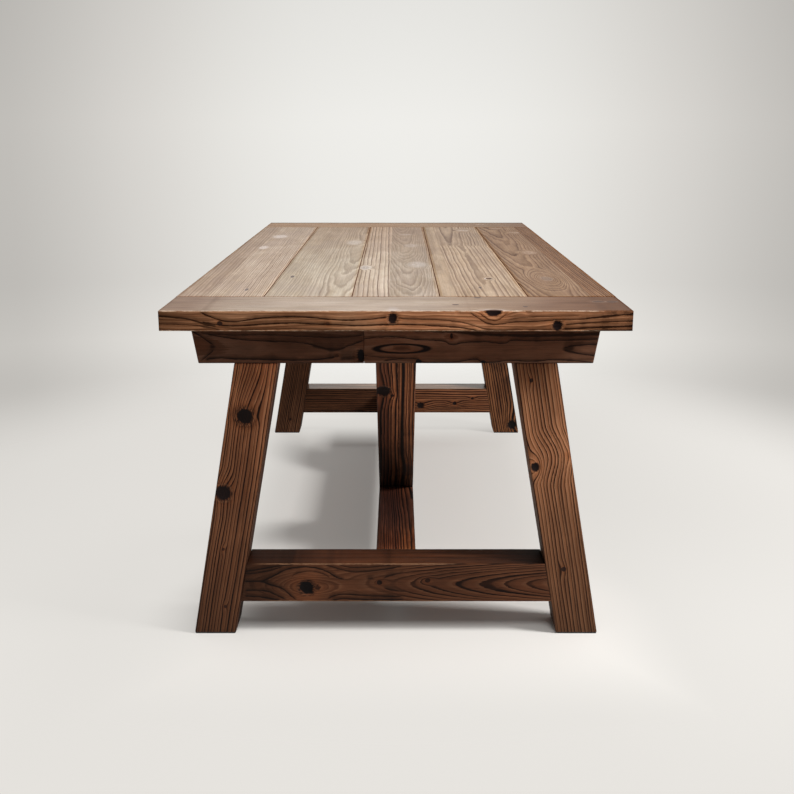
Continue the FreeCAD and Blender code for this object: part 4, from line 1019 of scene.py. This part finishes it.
def metalMaterial(name, colour, rough):
    # plated steel or brass: fine scratches and a cloudy plating
    material, tree, space = startMaterial(name)
    cloud = tree.noise(space, 90, 3, 0.6)
    scratch = tree.noise(tree.stretch(space, (1, 1, 0.1)), 900, 2, 0.6)
    tree.finish({
        "Base Color": tree.blend(cloud, shaded(colour, (0.78, 0.78, 0.76)), shaded(colour, (1.1, 1.1, 1.1))),
        "Roughness": tree.fade(cloud + scratch * 0.4, 0.4, 0.9, rough - 0.1, rough + 0.12),
        "Metallic": 1, "Normal": tree.bump(scratch, 0.3, 0.0001)})
    return material


def nylonMaterial(name, colour):
    # moulded and faintly grained, with some dust
    material, tree, space = startMaterial(name)
    grain = tree.noise(space, 1400, 3, 0.6)
    dust = tree.noise(space, 60, 4, 0.6)
    tree.finish({
        "Base Color": tree.blend(tree.fade(dust, 0.45, 0.7, 0, 0.5), colour, shaded(colour, (2.2, 2.1, 2))),
        "Roughness": tree.fade(grain, 0.3, 0.7, 0.45, 0.65), "Normal": tree.bump(grain, 0.3, 0.0001)})
    return material


# the nodes that stay as they are, by a word in their names
zincSteel = metalMaterial("zincSteel", tone(200, 200, 196), 0.38)
jointWood = woodMaterial("jointWood", woodOf(
    tones=jointTones, rings=2.5, pith=(60, 300), lateStops=softLate, stain=0.1, spring=0.1, wearTone=0,
    wander=6, flecks=0.5))
battenLow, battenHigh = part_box("centre_batten")
battenWood = woodMaterial("battenWood", woodOf(
    centre=(battenLow + battenHigh) / 2, depthWay=up, half=(400, 11, 35), seed=61, rings=6, pith=(-40, 50),
    lean=(0.5, 0.5), shade=(0.7, 0.67, 0.66), knots=[knotAt((130, 0, 12), 7, 1.2)]))
finishes = dict.fromkeys(("screw", "bolt", "washer", "nut", "rod"), zincSteel)
finishes["insert"] = metalMaterial("brassInsert", tone(206, 170, 104), 0.36)
finishes["glide"] = nylonMaterial("glideNylon", tone(30, 26, 24))
finishes["batten"] = battenWood
finishes.update(dict.fromkeys(("spline", "tenon", "splice", "dowel"), jointWood))
for name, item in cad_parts.items():
    for word, finish in finishes.items():
        if word in name:
            item.data.materials.clear()
            item.data.materials.append(finish)
            break
print("kept nodes finished")

studio = dict(
    # the floor fades out over an oval about the table
    floorHalf=3.4, oval=(0.4, 0.46, 0), fadeOut=(0.5, 0.98), frontToRear=(-1, 0.1),
    # the floor's painted tone across the view, in front of the table and behind it, darker near the table as
    # painted shade and paler to the right as painted light; and its colour where lamps light it
    floorFront=[(-1.3, 228), (-0.7, 223), (-0.3, 225), (0.4, 226), (0.8, 231), (1.3, 233)],
    floorRear=[(-1.3, 221), (-0.85, 226), (-0.6, 228), (0.4, 217), (0.8, 222), (1.3, 230)],
    lit=tone(229, 226, 221),
    # share of the floor's brightness that is its own painted glow rather than lamplight, which hides the
    # table's shadows: in the middle, by the trestles, well away
    ownLight=(0.18, 0, 0.9), middle=(0.58, 0.76), across=(0.38, 0.72), acrossShift=0.1, rightShare=1.3,
    closerIn=0.08, closerSpan=(-0.75, -0.5), along=(0.9, 1.3), behind=(0.55, 0.95), skyLight=0.56,
    # the wall, its light painted in: palest straight behind the table, greyer to the sides; far below it all
    # is floor
    wallWay=(0.008, 0.99997, 0), below=(-0.45, -0.25),
    wallTones=[(0, (249, 248, 244)), (0.012, (236, 234, 229)), (0.023, (226, 223, 218)),
               (0.037, (213, 210, 205)), (0.055, (197, 194, 189)), (0.1, (195, 192, 187)),
               (1, (197, 194, 189))],
    # by the height of the line of sight: a painted band of light, brightest just above the foot of the wall
    heightGreys=[(0, 249), (0.38, 249), (0.396, 247), (0.409, 255), (0.435, 243), (0.5, 247), (0.55, 237),
                 (1, 235)],
    # the soft light comes from above more than from the sides
    dome=[(0.5, 0.12), (0.68, 0.3), (0.86, 1)])


def seenRays(tree):
    # what the camera sees: straight, mirrored or through clear things
    camera, glossy, clearRay = [tree.node("LightPath", {}, {}, f"Is {kind} Ray")
                                for kind in ("Camera", "Glossy", "Transmission")]
    return tree.most(tree.most(camera, glossy), clearRay)


pick()
bpy.ops.mesh.primitive_plane_add(size=2 * studio["floorHalf"], location=(0, 0, 0))
floor = bpy.context.object
floor.name = "studioFloor"
floorMaterial, tree, space = startMaterial("studioFloor")
acrossFloor, alongFloor = [tree.part(space, axis) for axis in "XY"]
floorShadings = []
for levels in (studio["floorFront"], studio["floorRear"]):
    reach = levels[-1][0]
    stops = [(at / reach * 0.5 + 0.5, tone(level + 4, level + 1, level - 4)) for at, level in levels]
    floorShadings.append(tree.ramp(tree.slope(acrossFloor, -reach, reach), stops))
floorShading = tree.blend(tree.fade(alongFloor, *studio["frontToRear"], 0, 1), *floorShadings)
middleShare, trestleShare, openShare = studio["ownLight"]
alongWay = abs(alongFloor)
acrossWay = acrossFloor - studio["acrossShift"]
acrossWay = tree.most(acrossWay * -1, acrossWay * studio["rightShare"])
acrossWay = acrossWay + tree.fade(alongFloor, *studio["closerSpan"], 0, studio["closerIn"])
share = tree.fade(alongWay, *studio["middle"], middleShare, trestleShare)
for way, span in ((acrossWay, "across"), (alongWay, "along"), (alongFloor, "behind")):
    share = tree.most(share, tree.fade(way, *studio[span], 0, openShare))
ground = tree.mix(share * seenRays(tree), tree.node("BsdfDiffuse", {}, {"Color": studio["lit"]}),
                  tree.node("Emission", {}, {"Color": floorShading}))
away = tree.length(tree.vector("MULTIPLY", space, studio["oval"]))
edge = tree.fade(away, *studio["fadeOut"], 0, 1)
mixed = tree.mix(edge, ground, tree.node("BsdfTransparent", {}, {}))
tree.node("OutputMaterial", {}, {"Surface": mixed})
floor.data.materials.append(floorMaterial)

world = bpy.data.worlds.new("studio")
bpy.context.scene.world = world
tree = ShaderTree(world)
ray = tree.node("TexCoord", {}, {}, "Generated")
flat = tree.vector("NORMALIZE", tree.vector("MULTIPLY", ray, (1, 1, 0)))
ahead = tree.dot(flat, studio["wallWay"])
wall = tree.ramp(1 - ahead, [(at, tone(*colour)) for at, colour in studio["wallTones"]])
wall.out.node.color_ramp.interpolation = "B_SPLINE"
level = tree.part(tree.vector("NORMALIZE", ray), "Z")
height = level * 0.5 + 0.5
band = tree.ramp(height, [(at, tone(grey, grey, grey)) for at, grey in studio["heightGreys"]])
backdrop = tree.blend(1, wall, band, "MULTIPLY")
backdrop = tree.blend(tree.fade(level, *studio["below"]), backdrop, studio["lit"])
shown = tree.node("Background", {}, {"Color": backdrop})
sky = {"Color": tree.ramp(height, studio["dome"]), "Strength": studio["skyLight"]}
unseen = tree.node("Background", {}, sky)
tree.node("OutputWorld", {}, {"Surface": tree.mix(seenRays(tree), unseen, shown)})

lamps = dict(
    side=dict(at=(6.62, -2.6, 5.3), aim=(0, -0.3, 0), size=1.8, power=735),
    front=dict(at=(0.5, -4.4, 5), aim=(0, -0.4, 0.2), size=1.4, power=88))
for name, lamp in lamps.items():
    pick()
    bpy.ops.object.light_add(type="AREA", location=lamp["at"])
    light = bpy.context.object
    light.name = name
    light.data.shape = "RECTANGLE"
    light.data.size = light.data.size_y = lamp["size"]
    light.data.energy = lamp["power"]
    light.rotation_euler = (Vector(lamp["aim"]) - Vector(lamp["at"])).to_track_quat("-Z", "Y").to_euler()

cameraPlace = dict(at=(0.0035, -3.2555, 1.1229), pitch=13.62, yaw=0.0255, focalPixels=1125.4,
                   imageWidth=794, sensorWidth=36)
cameraTurn = (90 - cameraPlace["pitch"], 0, cameraPlace["yaw"])
pick()
bpy.ops.object.camera_add(location=cameraPlace["at"], rotation=[math.radians(a) for a in cameraTurn])
camera = bpy.context.object
camera.data.sensor_width = cameraPlace["sensorWidth"]
camera.data.lens = cameraPlace["sensorWidth"] * cameraPlace["focalPixels"] / cameraPlace["imageWidth"]
bpy.context.scene.camera = camera
bpy.context.scene.view_settings.view_transform = "Standard"
print("stage set")
